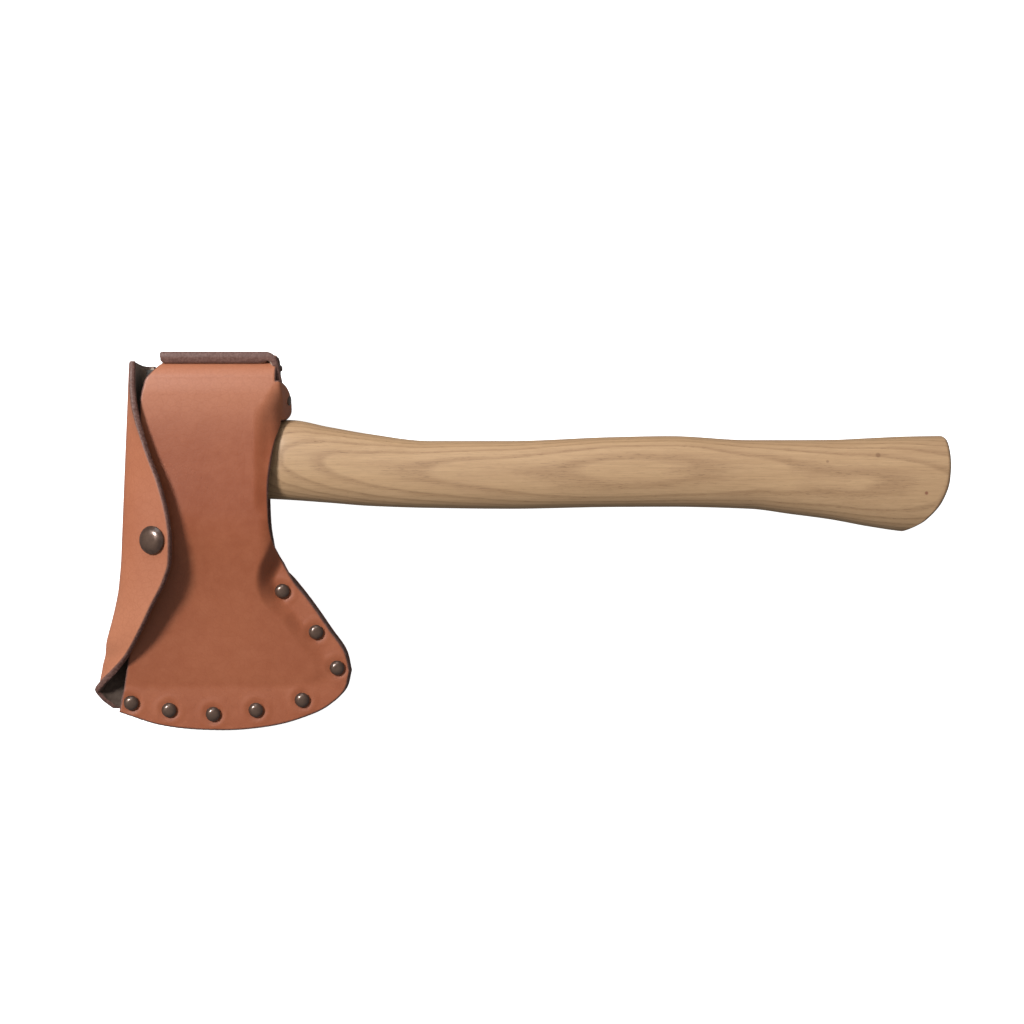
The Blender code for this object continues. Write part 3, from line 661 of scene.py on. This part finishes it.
edgeRoll = {"radius": 10.0, "reach": 9.6, "openX": 27.0, "sideX": 27.5, "pollShift": 8.5}
backRoll = {"radius": 8.0, "reach": 7.8}
snapPad = {"rise": 2.2, "x": -14.8, "wide": 9.0, "long": 11.0}
dentShape = {"depth": 0.34, "radius": 4.1, "ring": 0.20, "ringAt": 5.6, "ringWidth": 1.3}
cornerShape = {"x": 29.8, "radius": 6.0, "turn": 1.35, "extra": 14.5, "low": 14.0, "blend": 8.0, "lean": 2.8,
               "tuck": 0.34}
tabShape = {"swell": 2.2, "low": 20.0, "blend": 8.0, "cornerShare": 0.70}
earShape = {"low": 18.5, "high": 36.0, "front": 13.0, "back": 17.0, "columns": 30, "frontLean": 76.0}
rivetPlaces = [centreMm(f"rivet_cap_{n}")[:2] for n in range(1, 9)]
snapY = float(centreMm("snap_cap")[1])
rimPath = curveAt(panelShape["beyondRim"] + panelShape["rim"], np.linspace(0, 1, 460))
rimHeight = panelShape["weltHalf"] + leatherStock["gap"] + leatherStock["thickness"]


# Middle plane to the outside of a panel: flat along the riveted rim, then an eased ramp up over the cheeks,
# less the roll of its open edge.
def panelHeight(plan, rolled=0.0):
    shape = panelShape
    over = smoothAt(shape["headThickness"], plan[..., 1]) + leatherStock["gap"] + leatherStock["thickness"]
    over = np.maximum(over - rolled, rimHeight)
    fromRim = distanceTo(plan, rimPath)
    return rimHeight + (over - rimHeight) * ease((fromRim - shape["flatRim"]) / shape["ramp"])


# leather gives a little round each rivet: a pressed dish under the cap and a low ring beyond it
def rivetDents(plan):
    dent = np.zeros(plan.shape[:2])
    for centre in rivetPlaces:
        r = np.linalg.norm(plan - centre, axis=2)
        ring = np.exp(-((r - dentShape["ringAt"]) / dentShape["ringWidth"]) ** 2)
        dent += dentShape["ring"] * ring - dentShape["depth"] * np.exp(-(r / dentShape["radius"]) ** 4)
    return dent


# drop of a sheet over a round edge: r - sqrt(r^2 - reach^2), where reach is how far x lies past the start
def rollDrop(roll, x, start):
    reach = np.clip(x - start, 0, roll["reach"])
    return roll["radius"] - np.sqrt(roll["radius"] ** 2 - reach ** 2)


# between the haft and the last rivet nothing holds the panels apart, so their open edge rolls inward
def openRoll(plan):
    x, y = plan[..., 0], plan[..., 1]
    return rollDrop(edgeRoll, x, edgeRoll["openX"]) * ease((-14 - y) / 16) * ease((y + 64) / 20)


# Outside of the front panel over the middle plane: lower towards the flap, raised under the press stud,
# rolled down beside the haft and dipped at the haft's mouth.
def frontHeight(plan):
    x, y = plan[..., 0], plan[..., 1]
    past = np.maximum(smoothAt(panelShape["slopeStart"], y) - x, 0)
    down = np.tan(math.radians(panelShape["incline"])) * past
    away = ((x - snapPad["x"]) / snapPad["wide"]) ** 2 + ((y - snapY) / snapPad["long"]) ** 2
    raised = snapPad["rise"] * np.exp(-away / 2)
    side = edgeRoll["sideX"] + edgeRoll["pollShift"] * ease((y - 22) / 20)
    turn = rollDrop(edgeRoll, x, side) * ease((y + 4) / 20)
    mouth = panelShape["mouthDip"] * ease((x - 25) / 7) * ease((y + 26) / 9) * ease((26 - y) / 9)
    return panelHeight(plan, openRoll(plan) + mouth) - down + raised - turn + rivetDents(plan)


# outside of the back panel, which meets the flap's fold line smoothly
def backHeight(plan):
    x, y = plan[..., 0], plan[..., 1]
    edge = rollDrop(backRoll, x, panelShape["backEarX"] - backRoll["radius"])
    edge = edge * ease((y - 10) / 10) * ease((39 - y) / 4)
    base = midHeight - panelHeight(plan, openRoll(plan)) + edge
    line = foldLine(y)
    share = np.clip(1 - (x - line[..., 0]) / foldShape["lead"], 0, 1) ** 2
    return base + (line[..., 2] - base) * share


# rows that carry a panel's top edge a quarter turn round the poll and straight on; side +1 is down, -1 is up
def overPoll(start, sideShift, side, tail):
    wrap = panelShape["wrap"]
    turns = np.radians(np.linspace(0, 90, 23)[1:])
    straight = edgedShares(16, tail, first=False)[1:] * tail
    lean = (side < 0) * panelShape["tailLean"] * straight / tail
    forward = np.concatenate([wrap * np.sin(turns), wrap + lean])
    drop = np.concatenate([wrap * (1 - np.cos(turns)), wrap + straight])
    rows = np.repeat(start[None], len(forward), axis=0)
    rows[..., 1] += forward[:, None]
    rows[..., 2] -= side * drop[:, None]
    across = ease(1 - (start[:, 0] - start[0, 0]) / (start[-1, 0] - start[0, 0]))
    rows[..., 0] += sideShift * across[None] * (np.clip(forward / wrap, 0, 1) ** 1.1)[:, None]
    return rows


# The top of the back panel's tail runs on past its right edge and turns the corner there: beyond the corner
# x follows c + r sin(a) and y drops by r (1 - cos(a)), with a the run over r, then it goes straight on,
# tucked in lower down.
def turnCorner(rows):
    shape = cornerShape
    onPoll = ease((rows[:, :1, 2] - shape["low"]) / shape["blend"])
    share = (rows[..., 0] - rows[:, :1, 0]) / (rows[:, -1:, 0] - rows[:, :1, 0])
    rows[..., 0] += shape["lean"] * (1 - share) * onPoll
    run = rows[..., 0] + shape["extra"] * ease((share - 0.72) / 0.28)
    over = np.clip(run - shape["x"], 0, None)
    angle = np.minimum(over / shape["radius"], shape["turn"])
    rest = over - angle * shape["radius"]
    bentX = np.minimum(run, shape["x"]) + shape["radius"] * np.sin(angle) + rest * np.cos(angle)
    rows[..., 1] -= onPoll * (shape["radius"] * (1 - np.cos(angle)) + rest * np.sin(angle))
    below = rows[-1:, :1, 2] - rows[:, :1, 2]
    rows[..., 0] += onPoll * (bentX - rows[..., 0] - shape["tuck"] * below * np.sin(angle))
    return rows


# Ear: each row within its height goes on past the panel's edge by 1 - |t|^3 under a root, t from -1 to 1 up
# it, turning from the panel's own slope to nearly straight down (side +1) or up (side -1).
def addEar(outer, normal, plainRows, reach, side, lean):
    y = outer[:, -1, 1]
    t = (y - (earShape["low"] + earShape["high"]) / 2) / ((earShape["high"] - earShape["low"]) / 2)
    extent = reach * np.sqrt(np.clip(1 - np.abs(t) ** 3, 0, 1))
    extent[plainRows:] = 0
    share = edgedShares(earShape["columns"], reach, first=False)[1:]
    run = extent[:, None] * share[None]
    edge = normal[:, -1]
    start = np.arctan2(np.maximum(edge[:, 0], 0), edge[:, 2] * side)
    slope = start[:, None] + (math.radians(lean) - start[:, None]) * ease(run / 3.0)
    step = np.diff(np.concatenate([np.zeros((len(y), 1)), run], axis=1), axis=1)
    x = outer[:, -1, 0, None] + np.cumsum(step * np.cos(slope), axis=1)
    z = outer[:, -1, 2, None] - side * np.cumsum(step * np.sin(slope), axis=1)
    ear = np.stack([x, np.repeat(y[:, None], run.shape[1], axis=1), z], axis=2)
    facing = np.stack([np.sin(slope), np.zeros_like(slope), side * np.cos(slope)], axis=2)
    facing = edge[:, None] + (facing - edge[:, None]) * ease(run / 3.0)[..., None]
    facing /= np.linalg.norm(facing, axis=2, keepdims=True)
    return np.concatenate([outer, ear], axis=1), np.concatenate([normal, facing], axis=1)


# row shares that crowd where the right edge has its ear and where the panel turns over the poll
def panelRows(rightEdge):
    fine = np.linspace(0, 1, 4000)
    y = resample(rightEdge, fine)[:, 1]
    onEar = (y > earShape["low"] - 1.5) & (y < earShape["high"] + 1.5)
    ends = np.abs(np.abs(y - (earShape["low"] + earShape["high"]) / 2) - 8.6) < 1.3
    weight = 1 + 1.2 * onEar + 5 * ends + 12 * (fine < 0.012)
    total = np.cumsum(weight)
    total = (total - total[0]) / (total[-1] - total[0])
    return np.interp(np.linspace(0, 1, panelShape["rows"]), total, fine)


# flat plan of a panel between its four edges; the rim is the bottom edge and, past the heel, part of the
# right one
def panelPlan(left, right):
    rim = panelShape["rim"]
    corner = panelShape["heelCorner"]
    across = edgedShares(panelShape["columns"], 95)
    dense = np.linspace(0, 1, 1200)
    rightLine = curveAt(rim[:corner + 1][::-1] + right[1:], dense)
    along = panelRows(rightLine)
    bottomLine = curveAt([left[0]] + rim[corner:-1][::-1], dense)
    leftLine = curveAt(left, dense)
    bottom = resample(bottomLine, across)
    rightEdge, leftEdge = resample(rightLine, along), resample(leftLine, along)
    top = leftEdge[-1] + (rightEdge[-1] - leftEdge[-1]) * across[:, None]
    return coons(bottom, top, leftEdge, rightEdge, across, along)


def edgesOf(grid, which):
    sides = {"bottom": grid[0], "right": grid[:, -1], "top": grid[-1], "left": grid[:, 0]}
    return [sides[name] for name in which]


def makeFront(finish):
    plan = panelPlan(panelShape["left"], panelShape["right"])
    outer = np.concatenate([plan, (midHeight + frontHeight(plan))[..., None]], axis=2)
    outer = np.concatenate([outer, overPoll(outer[-1], panelShape["frontShift"], 1, panelShape["frontTail"])])
    wide, facing = addEar(outer, gridNormals(outer), len(plan), earShape["front"], 1, earShape["frontLean"])
    edges = edgesOf(wide, ("bottom", "right", "top", "left"))
    pullUpAndLight = smoothAt(panelShape["pullUpAndLight"], wide[..., 1])
    leatherSheet("front_panel", wide, facing, finish, edges, pullUpAndLight, rootBody, ["sheath_front"])
    print("front panel", wide.shape)


def makeBack(finish):
    places = (-111.6, -60.0, 0.0, panelShape["backTop"])
    left = [tuple(foldLine(y)[:2] + [foldShape["gap"], 0]) for y in places]
    limit = panelShape["backEarX"]
    right = [(min(x, limit), y) if y > 10 else (x - panelShape["backInset"] * float(ease((y + 52) / 8)), y)
             for x, y in panelShape["right"][:-1]]
    plan = panelPlan(left, right + [(limit, panelShape["backTop"])])
    outer = np.concatenate([plan, backHeight(plan)[..., None]], axis=2)
    tail = turnCorner(overPoll(outer[-1], panelShape["backShift"], -1, panelShape["backTail"]))
    outer = np.concatenate([outer, tail])
    wide, facing = addEar(outer, -gridNormals(outer), len(plan), earShape["back"], -1, 90)
    edges = edgesOf(wide, ("bottom", "right", "top")) + [wide[len(plan):, 0]]
    pullUpAndLight = smoothAt(panelShape["pullUpAndLight"], wide[..., 1])
    share = np.linspace(0, 1, wide.shape[1])[None]
    swell = tabShape["swell"] * ease((wide[..., 2] - tabShape["low"]) / tabShape["blend"])
    swell = swell * ease((tabShape["cornerShare"] - share) / 0.08) * ease(share / 0.05)
    swell = swell * (np.arange(len(wide)) >= len(plan))[:, None]
    leatherSheet("back_panel", wide, facing, finish, edges, pullUpAndLight, rootBody, ["sheath_back"],
                 swell[..., None])
    print("back panel", wide.shape)


# Welt: a rectangle with softened corners carried along the rim between the panels.
def makeWelt(finish):
    line = curveAt(panelShape["rim"], np.linspace(0, 1, 260))
    along = np.gradient(line, axis=0)
    along /= np.linalg.norm(along, axis=1, keepdims=True)
    inward = np.stack([along[:, 1], -along[:, 0]], axis=1)
    half = panelShape["weltHalf"]
    section = [(0.9, -half), (11.0, -half), (11.0, half), (0.9, half), (0.55, half - 0.25), (0.4, half - 0.8),
               (0.4, 0.8 - half), (0.55, 0.25 - half)]
    depth, height = np.array(section).T
    flat = line[:, None] + inward[:, None] * depth[None, :, None]
    rings = np.concatenate([flat, np.broadcast_to(midHeight + height, flat.shape[:2])[..., None]], axis=2)
    first, last = (rings[k:][:1].mean(axis=1, keepdims=True).repeat(len(section), axis=1) for k in (0, -1))
    closed = np.concatenate([first, rings, last])
    dark = np.ones(closed.shape[:2])
    makeTube("rim_welt", closed, finish, {"cutEdge": dark, "flesh": dark}, "edge_welt")


foldShape = {"start": (-25.2, 45.0, 0.3), "slope": (-0.064, 0.070), "gap": 0.8, "lead": 10.5}
curlShape = {"start": (-30.3, 45.0, 29.0), "slope": (-0.045, -0.0224)}
flapShape = {
    "toe": -111.0, "top": 44.5, "onePiece": -84.0, "seam": 0.6, "rows": 230, "wallColumns": 44,
    "coverColumns": 84,
    "freeEdge": [
        (-29.6, 44.5, 32.6), (-29.3, 35, 34.8), (-28.3, 26.9, 36.4), (-26.0, 18.2, 38), (-22.7, 9.5, 39.3),
        (-19.2, 0.7, 40.5), (-15.6, -8, 41.6), (-12.8, -16.8, 42.6), (-10.8, -25.5, 43.2),
        (-9.9, -34.0, 43.3), (-10.2, -43.5, 42.5), (-12.8, -52, 41), (-18.8, -63.1, 38),
        (-24.8, -74.3, 34.5), (-32.2, -85.7, 29), (-37.9, -91.3, 25.5), (-45.4, -97.6, 20.5),
        (-49.2, -102.1, 16), (-46.5, -106.9, 14), (-41.0, -111.5, 12.5),
    ],
    # lighter-grain share by y along the flap: painted light where the flap faces the light, in part pull-up
    "pullUpAndLight": [(-111, 0.9), (-95, 1.0), (-70, 1.05), (-35, 0.6), (0, 0.65), (45, 0.9)],
    "bulge": [(-111, 0.0), (-104, 1.0), (-97, 4.6), (-90, 6.0), (-84, 5.2), (-76, 3.4), (-66, 1.7),
              (-54, 0.6), (-42, 0.0), (45, 0.0)],
    "wallLean": [(-111, -50), (-102, -30), (-98, 0), (-94, 20), (-88, 50), (-70, 35), (-45, 3), (45, 0)],
    "coverRest": [(-90, 35), (-60, 22), (-34, 24), (0, 30), (30, 80), (45, 85)],
    "wallLength": [(-111, 13.0), (-84, 25.0), (45, 28.5)],
    "wallHandles": (0.28, 0.38), "coverHandles": (0.30, 0.40), "steps": 200, "smoothWidth": 5.0,
    "blendWidth": 9.0, "seamLimits": (0.15, 0.62),
    "foldAcross": (-0.75, 0, 0.66), "foldFrom": 0.6, "foldTo": 13.0,
    "curlAcross": (0.5, 0, 0.87), "curlFrom": -8.0, "curlTo": 7.0,
}


# a straight line in space, read at y
def slantLine(shape, y):
    y = np.asarray(y, float)
    drop = shape["start"][1] - y
    x, z = (start + slope * drop for start, slope in zip(shape["start"][::2], shape["slope"]))
    return np.stack([x, y, z], axis=-1)


def foldLine(y):
    return slantLine(foldShape, y)


def curlLine(y):
    return slantLine(curlShape, y)


def freeEdge(y):
    table = flapShape["freeEdge"]
    return np.stack([smoothAt([(p[1], p[0]) for p in table], y), np.asarray(y, float),
                     smoothAt([(p[1], p[2]) for p in table], y)], axis=-1)


# Flap at one y, in even steps: a curve that leaves the back panel on its slope and climbs to the second
# fold line, then one over the front panel to the free edge. Near the toe one curve runs straight to the
# free edge.
def flapSection(y, count=160):
    start, shoulder, end = foldLine(y), curlLine(y), freeEdge(y)
    t = np.linspace(0, 1, count)
    onePiece = y < flapShape["onePiece"]
    aim = end if onePiece else shoulder
    reach = np.linalg.norm(aim - start)
    lean = math.radians(float(smoothAt(flapShape["wallLean"], y)))
    level = midHeight - float(panelHeight(start[None, None, :2])[0, 0])
    rise = math.atan(2 * (start[2] - level) / foldShape["lead"])
    near, far = flapShape["wallHandles"]
    low = start + near * reach * np.array([-math.cos(rise), 0, math.sin(rise)])
    high = aim - far * reach * np.array([math.sin(lean), 0, math.cos(lean)])
    wall = bezier(start, low, high, aim, t)
    if onePiece:
        return wall
    rest = math.radians(float(smoothAt(flapShape["coverRest"], y)))
    reach = np.linalg.norm(end - shoulder)
    near, far = flapShape["coverHandles"]
    low = shoulder + near * reach * np.array([math.sin(lean), 0, math.cos(lean)])
    high = end - far * reach * np.array([math.cos(rest), 0, math.sin(rest)])
    cover = bezier(shoulder, low, high, end, t)
    return np.concatenate([wall, cover[1:]])


# running average along the rows, wider than the step where the flap's two curves become one
def smoothRows(grid, y, width):
    weight = np.exp(-((y[:, None] - y[None, :]) / width) ** 2)
    step = np.gradient(y)
    weight = weight * step[None]
    weight /= weight.sum(axis=1, keepdims=True)
    return np.einsum("ij,jkc->ikc", weight, grid)


# rows of the flap's outside from the toe to the top, each in even steps, and the share where the wall ends
def flapGrid():
    shape = flapShape
    length = shape["top"] - shape["toe"]
    rows = shape["toe"] + length * edgedShares(shape["rows"], length)
    even = np.linspace(0, 1, shape["steps"])
    grid = np.stack([resample(flapSection(y), even) for y in rows])
    smooth = smoothRows(grid, rows, shape["smoothWidth"])
    near = np.exp(-((rows - shape["onePiece"]) / shape["blendWidth"]) ** 2)
    grid = grid + (smooth - grid) * near[:, None, None]
    grid[..., 0] -= smoothAt(shape["bulge"], rows)[:, None] * np.sin(math.pi * even ** 0.9)[None] ** 2
    ends = freeEdge(rows)
    grid = grid + (ends - grid[:, -1])[:, None] * (even ** 6)[None, :, None]
    lengths = np.array([runLength(line)[-1] for line in grid])
    wallLength = np.interp(rows, *zip(*shape["wallLength"]))
    return rows, grid, np.clip(shape["seam"] * wallLength / lengths, *shape["seamLimits"])


def makeFlap(finish):
    shape = flapShape
    rows, grid, seam = flapGrid()
    normal = gridNormals(grid)
    even = np.linspace(0, 1, grid.shape[1])

    def readAt(field, shares):
        return np.stack([np.stack([np.interp(s, even, row[:, k]) for k in range(3)], axis=1)
                         for s, row in zip(shares, field)])

    low = seam[:, None] * np.linspace(0, 1, shape["wallColumns"])[None]
    high = seam[:, None] + (1 - seam[:, None]) * edgedShares(shape["coverColumns"], 30, first=False)[None]
    wall, wallNormal = readAt(grid, low), readAt(normal, low)
    cover, coverNormal = readAt(grid, high), readAt(normal, high)
    border = foldLine(rows) + [foldShape["gap"], 0, 0]
    inPlan = rows < panelShape["backTop"]
    border[inPlan, 2] = backHeight(border[None, inPlan, :2])[0]
    lead = np.stack([border, (border + foldLine(rows)) / 2], axis=1)
    wall = np.concatenate([lead, wall], axis=1)
    wallNormal = np.concatenate([np.repeat(wallNormal[:, :1], 2, axis=1), wallNormal], axis=1)
    for field in (wallNormal, coverNormal):
        field /= np.linalg.norm(field, axis=2, keepdims=True)
    wallEdges, coverEdges = edgesOf(wall, ("bottom", "top")), edgesOf(cover, ("bottom", "right", "top"))
    wallPullAndLight, coverPullAndLight = smoothAt(shape["pullUpAndLight"], wall[..., 1]), smoothAt(shape["pullUpAndLight"], cover[..., 1])
    wallPiece = leatherSheet("flap_wall_leather", wall, wallNormal, finish, wallEdges, wallPullAndLight,
                             replaced=["flap_side"])
    coverPiece = leatherSheet("flap_cover_leather", cover, coverNormal, finish, coverEdges, coverPullAndLight,
                              replaced=["flap_front"])
    bendFlap(wallPiece, foldShape, shape["foldAcross"])
    bendFlap(coverPiece, curlShape, shape["curlAcross"])
    print("flap", wall.shape, cover.shape)


# works out a fold line's axis and a direction square to it, which nothing uses, and bakes the piece's
# placement into its mesh; the piece is neither bent nor joined to a body
def bendFlap(piece, line, direction):
    point = slantLine(line, 0.0)
    axis = np.array([line["slope"][0], -1, line["slope"][1]])
    axis = axis / np.linalg.norm(axis)
    direction = np.array(direction) - axis * np.dot(direction, axis)
    direction /= np.linalg.norm(direction)
    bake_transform(piece)


capShape = {
    "radius": 3.3, "rise": 1.9, "snapRadius": 6.2, "snapRise": 2.4, "earRadius": 2.4, "earRise": 0.8,
    "earAxis": (0.97, 0, 0.24), "post": 1.5, "snapPost": 3.8, "postRadius": 1.5, "flatness": 3.4,
    "segments": 72,
}


# profile of a domed cap on its post: flat underside, rolled lip, then a dome that falls as r to the power
# flatness
def capProfile(radius, rise, post):
    lip = min(0.42, rise * 0.22)
    turn = np.radians(np.linspace(-90, 60, 9))
    profile = [(0.0, -post), (capShape["postRadius"], -post), (capShape["postRadius"], 0.0),
               (radius - lip, 0.0)]
    profile += [(radius - lip + lip * math.cos(a), lip + lip * math.sin(a)) for a in turn]
    edge, height = profile[-1]
    for s in np.linspace(0, 1, 15)[1:]:
        r = edge * (1 - s)
        profile.append((r, height + (rise - height) * (1 - (r / edge) ** capShape["flatness"])))
    return profile


# how rubbed a cap is along its profile: wholly near the top, not at all a millimetre lower
def wornShare(profile):
    radius, height = np.array(profile).T
    return ease((height - height.max() + 1.0) / 0.9) * (radius < radius.max())


def makeCap(name, radius, rise, post, centre, axis, finish, body, node):
    profile = capProfile(radius, rise, post)
    turnedPiece(name, profile, centre, axis, finish, body, node, capShape["segments"], wornShare(profile))


# the back of a rivet: a thin burr washer and the post's end, hammered to a low mushroom
def burrProfile(washer, thick, head):
    profile = [(0.0, 2.0), (1.3, 2.0), (1.3, 0.0), (washer - 0.15, 0.0), (washer, -0.12),
               (washer, -thick + 0.15), (washer - 0.18, -thick), (head, -thick), (head - 0.05, -thick - 0.18)]
    turn = np.radians([25, 50, 75, 90])
    return profile + [(head * math.cos(a), -thick - 0.18 - 0.42 * math.sin(a)) for a in turn]


def makeFasteners(finish):
    shape = capShape
    up = (0, 0, 1)
    for number, place in enumerate(rivetPlaces, 1):
        cap, post = f"rivet_cap_{number}", f"rivet_post_{number}"
        centre = (*place, boxMm(cap)[0][2])
        makeCap(f"rivet_dome_{number}", shape["radius"], shape["rise"], shape["post"], centre, up, finish,
                rootBody, cap)
        centre = (*place, boxMm(post)[0][2] + 1.0)
        turnedPiece(f"rivet_burr_{number}", burrProfile(3.0, 0.55, 1.75), centre, up, finish, rootBody, post,
                    48, 0.4)
    low, high = boxMm("ear_rivet_cap")
    centre = (low[0] + 0.5, (low[1] + high[1]) / 2, (low[2] + high[2]) / 2)
    makeCap("ear_rivet_dome", shape["earRadius"], shape["earRise"], shape["post"], centre, shape["earAxis"],
            finish, rootBody, "ear_rivet_cap")
    print("rivets", len(rivetPlaces) + 1)


def nodePoints(node):
    return np.array([v.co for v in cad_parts[node].data.vertices]) / mm


# The press stud stands on the cap's axis, the direction in which its points spread least, turned to face
# up. Each part keeps the place that the frame gives it along that axis.
def makeSnap(finish):
    points = nodePoints("snap_cap")
    middle = points.mean(axis=0)
    directions = np.linalg.eigh(np.cov((points - middle).T))[1]
    axis = directions[:, 0] * np.sign(directions[2, 0])
    foot = middle + axis * ((points @ axis).max() - middle @ axis)
    centre = foot - axis * capShape["snapRise"]

    def heightOf(node):
        reach = nodePoints(node) @ axis - centre @ axis
        return reach.max(), reach.min()

    makeCap("snap_dome", capShape["snapRadius"], capShape["snapRise"], capShape["snapPost"], centre, axis,
            finish, coverBody, "snap_cap")
    top, low = heightOf("snap_socket")
    socket = [(0.0, top), (4.5, top), (4.8, top - 0.2), (4.8, low + 0.3), (4.6, low + 0.08), (4.3, low),
              (4.0, low + 0.05), (3.75, low + 0.25), (3.7, top - 0.7), (0.0, top - 0.6)]
    turnedPiece("snap_spring_socket", socket, centre, axis, finish, coverBody, "snap_socket", 64, 0.5)
    top, low = heightOf("snap_stud")
    stud = [(0.0, low), (4.2, low), (4.4, low + 0.15), (4.35, low + 0.35), (3.2, low + 0.45),
            (2.5, low + 0.55), (2.42, low + 0.9), (2.6, top - 0.3), (2.45, top - 0.1), (2.1, top),
            (1.2, top - 0.02), (0.9, top - 0.3), (0.0, top - 0.35)]
    turnedPiece("snap_post_stud", stud, centre, axis, finish, rootBody, "snap_stud", 64, 0.7)
    print("snap")


studio = {
    "cameraHeight": 750.0, "cameraPlace": (139.0, -22.0), "sensor": 36.0, "frameWidth": 460.8,
    "keyFrom": (-950, 720, 1500), "keySize": 460.0, "keyPower": 36.0,
    "fillFrom": (-300, 2500, 1500), "fillSize": 1600.0, "fillPower": 13.0,
    "lampAim": (100, -30, 0), "floorGlow": 0.95, "floorLevel": -30.0, "floorHalf": 8000.0, "skyTop": 0.25,
    "skyLow": 0.17,
}


def makeCamera():
    camera = bpy.data.cameras.new("camera")
    camera.sensor_width = studio["sensor"]
    camera.lens = studio["sensor"] * studio["cameraHeight"] / studio["frameWidth"]
    camera.clip_start = 0.01
    camera.clip_end = 50
    stand = bpy.data.objects.new("camera", camera)
    x, y = studio["cameraPlace"]
    stand.location = Vector((x, y, midHeight + studio["cameraHeight"])) * mm
    bpy.context.scene.collection.objects.link(stand)
    bpy.context.scene.camera = stand


def makeLamp(name, place, size, power):
    lamp = bpy.data.lights.new(name, "AREA")
    lamp.shape = "DISK"
    lamp.size = size * mm
    lamp.energy = power
    stand = bpy.data.objects.new(name, lamp)
    stand.location = Vector(place) * mm
    stand.rotation_euler = (Vector(studio["lampAim"]) - Vector(place)).to_track_quat("-Z", "Y").to_euler()
    bpy.context.scene.collection.objects.link(stand)


# Floor: white, with a glow that keeps its shadows faint; it doesn't light the object from below. It lies
# low enough for the flap to swing fully open above it.
def makeFloor():
    finish = Finish("studio_floor")
    speck = finish.noise(finish.place(), 60, 2, 0.5)
    finish.connect(Base_Color=finish.mix(speck * 0.02, (0.8, 0.8, 0.8), (0.78, 0.78, 0.78)), Roughness=0.9)
    finish.connect(Specular_IOR_Level=0.1, Emission_Color=(1, 1, 1, 1), Emission_Strength=studio["floorGlow"])
    mesh = bpy.data.meshes.new("floor")
    half, level = studio["floorHalf"] * mm, studio["floorLevel"] * mm
    corners = [(-half, -half, level), (half, -half, level), (half, half, level), (-half, half, level)]
    mesh.from_pydata(corners, [], [(0, 1, 2, 3)])
    mesh.materials.append(finish.material)
    floor = bpy.data.objects.new("floor", mesh)
    bpy.context.scene.collection.objects.link(floor)
    floor.visible_diffuse = False
    floor.visible_glossy = False


# sky that is bright overhead and dim below the horizon, so light falls from above
def makeSky():
    world = bpy.data.worlds.new("studio")
    bpy.context.scene.world = world
    world.use_nodes = True
    tree = world.node_tree
    background = tree.nodes["Background"]
    coordinates = tree.nodes.new("ShaderNodeTexCoord")
    split = tree.nodes.new("ShaderNodeSeparateXYZ")
    level = tree.nodes.new("ShaderNodeMapRange")
    level.inputs[1].default_value = -0.1
    level.inputs[2].default_value = 0.7
    level.inputs[3].default_value = studio["skyLow"]
    level.inputs[4].default_value = studio["skyTop"]
    tree.links.new(coordinates.outputs["Generated"], split.inputs[0])
    tree.links.new(split.outputs[2], level.inputs[0])
    tree.links.new(level.outputs[0], background.inputs["Strength"])
    background.inputs["Color"].default_value = (1, 1, 1, 1)


def main():
    makeCamera()
    leather, ash, steel, bronze, wedge = russetLeather(), ashWood(), forgedSteel(), darkBronze(), wedgeWood()
    for node, finish in (("axe_head", steel), ("ear_rivet_post", bronze), ("snap_base", bronze)):
        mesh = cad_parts[node].data
        mesh.materials.clear()
        mesh.materials.append(finish)
    print("finishes")
    makeHaft(ash)
    makeWedge("wood_wedge", "eye_wedge", wedge, 0.6)
    makeWedge("cross_wedge", "steel_wedge", steel, 0.4)
    makeFront(leather)
    makeBack(leather)
    makeWelt(leather)
    makeFlap(leather)
    makeFasteners(bronze)
    makeSnap(bronze)
    makeFloor()
    makeSky()
    makeLamp("key", studio["keyFrom"], studio["keySize"], studio["keyPower"])
    makeLamp("fill", studio["fillFrom"], studio["fillSize"], studio["fillPower"])
    bpy.context.scene.view_settings.view_transform = "Standard"


main()
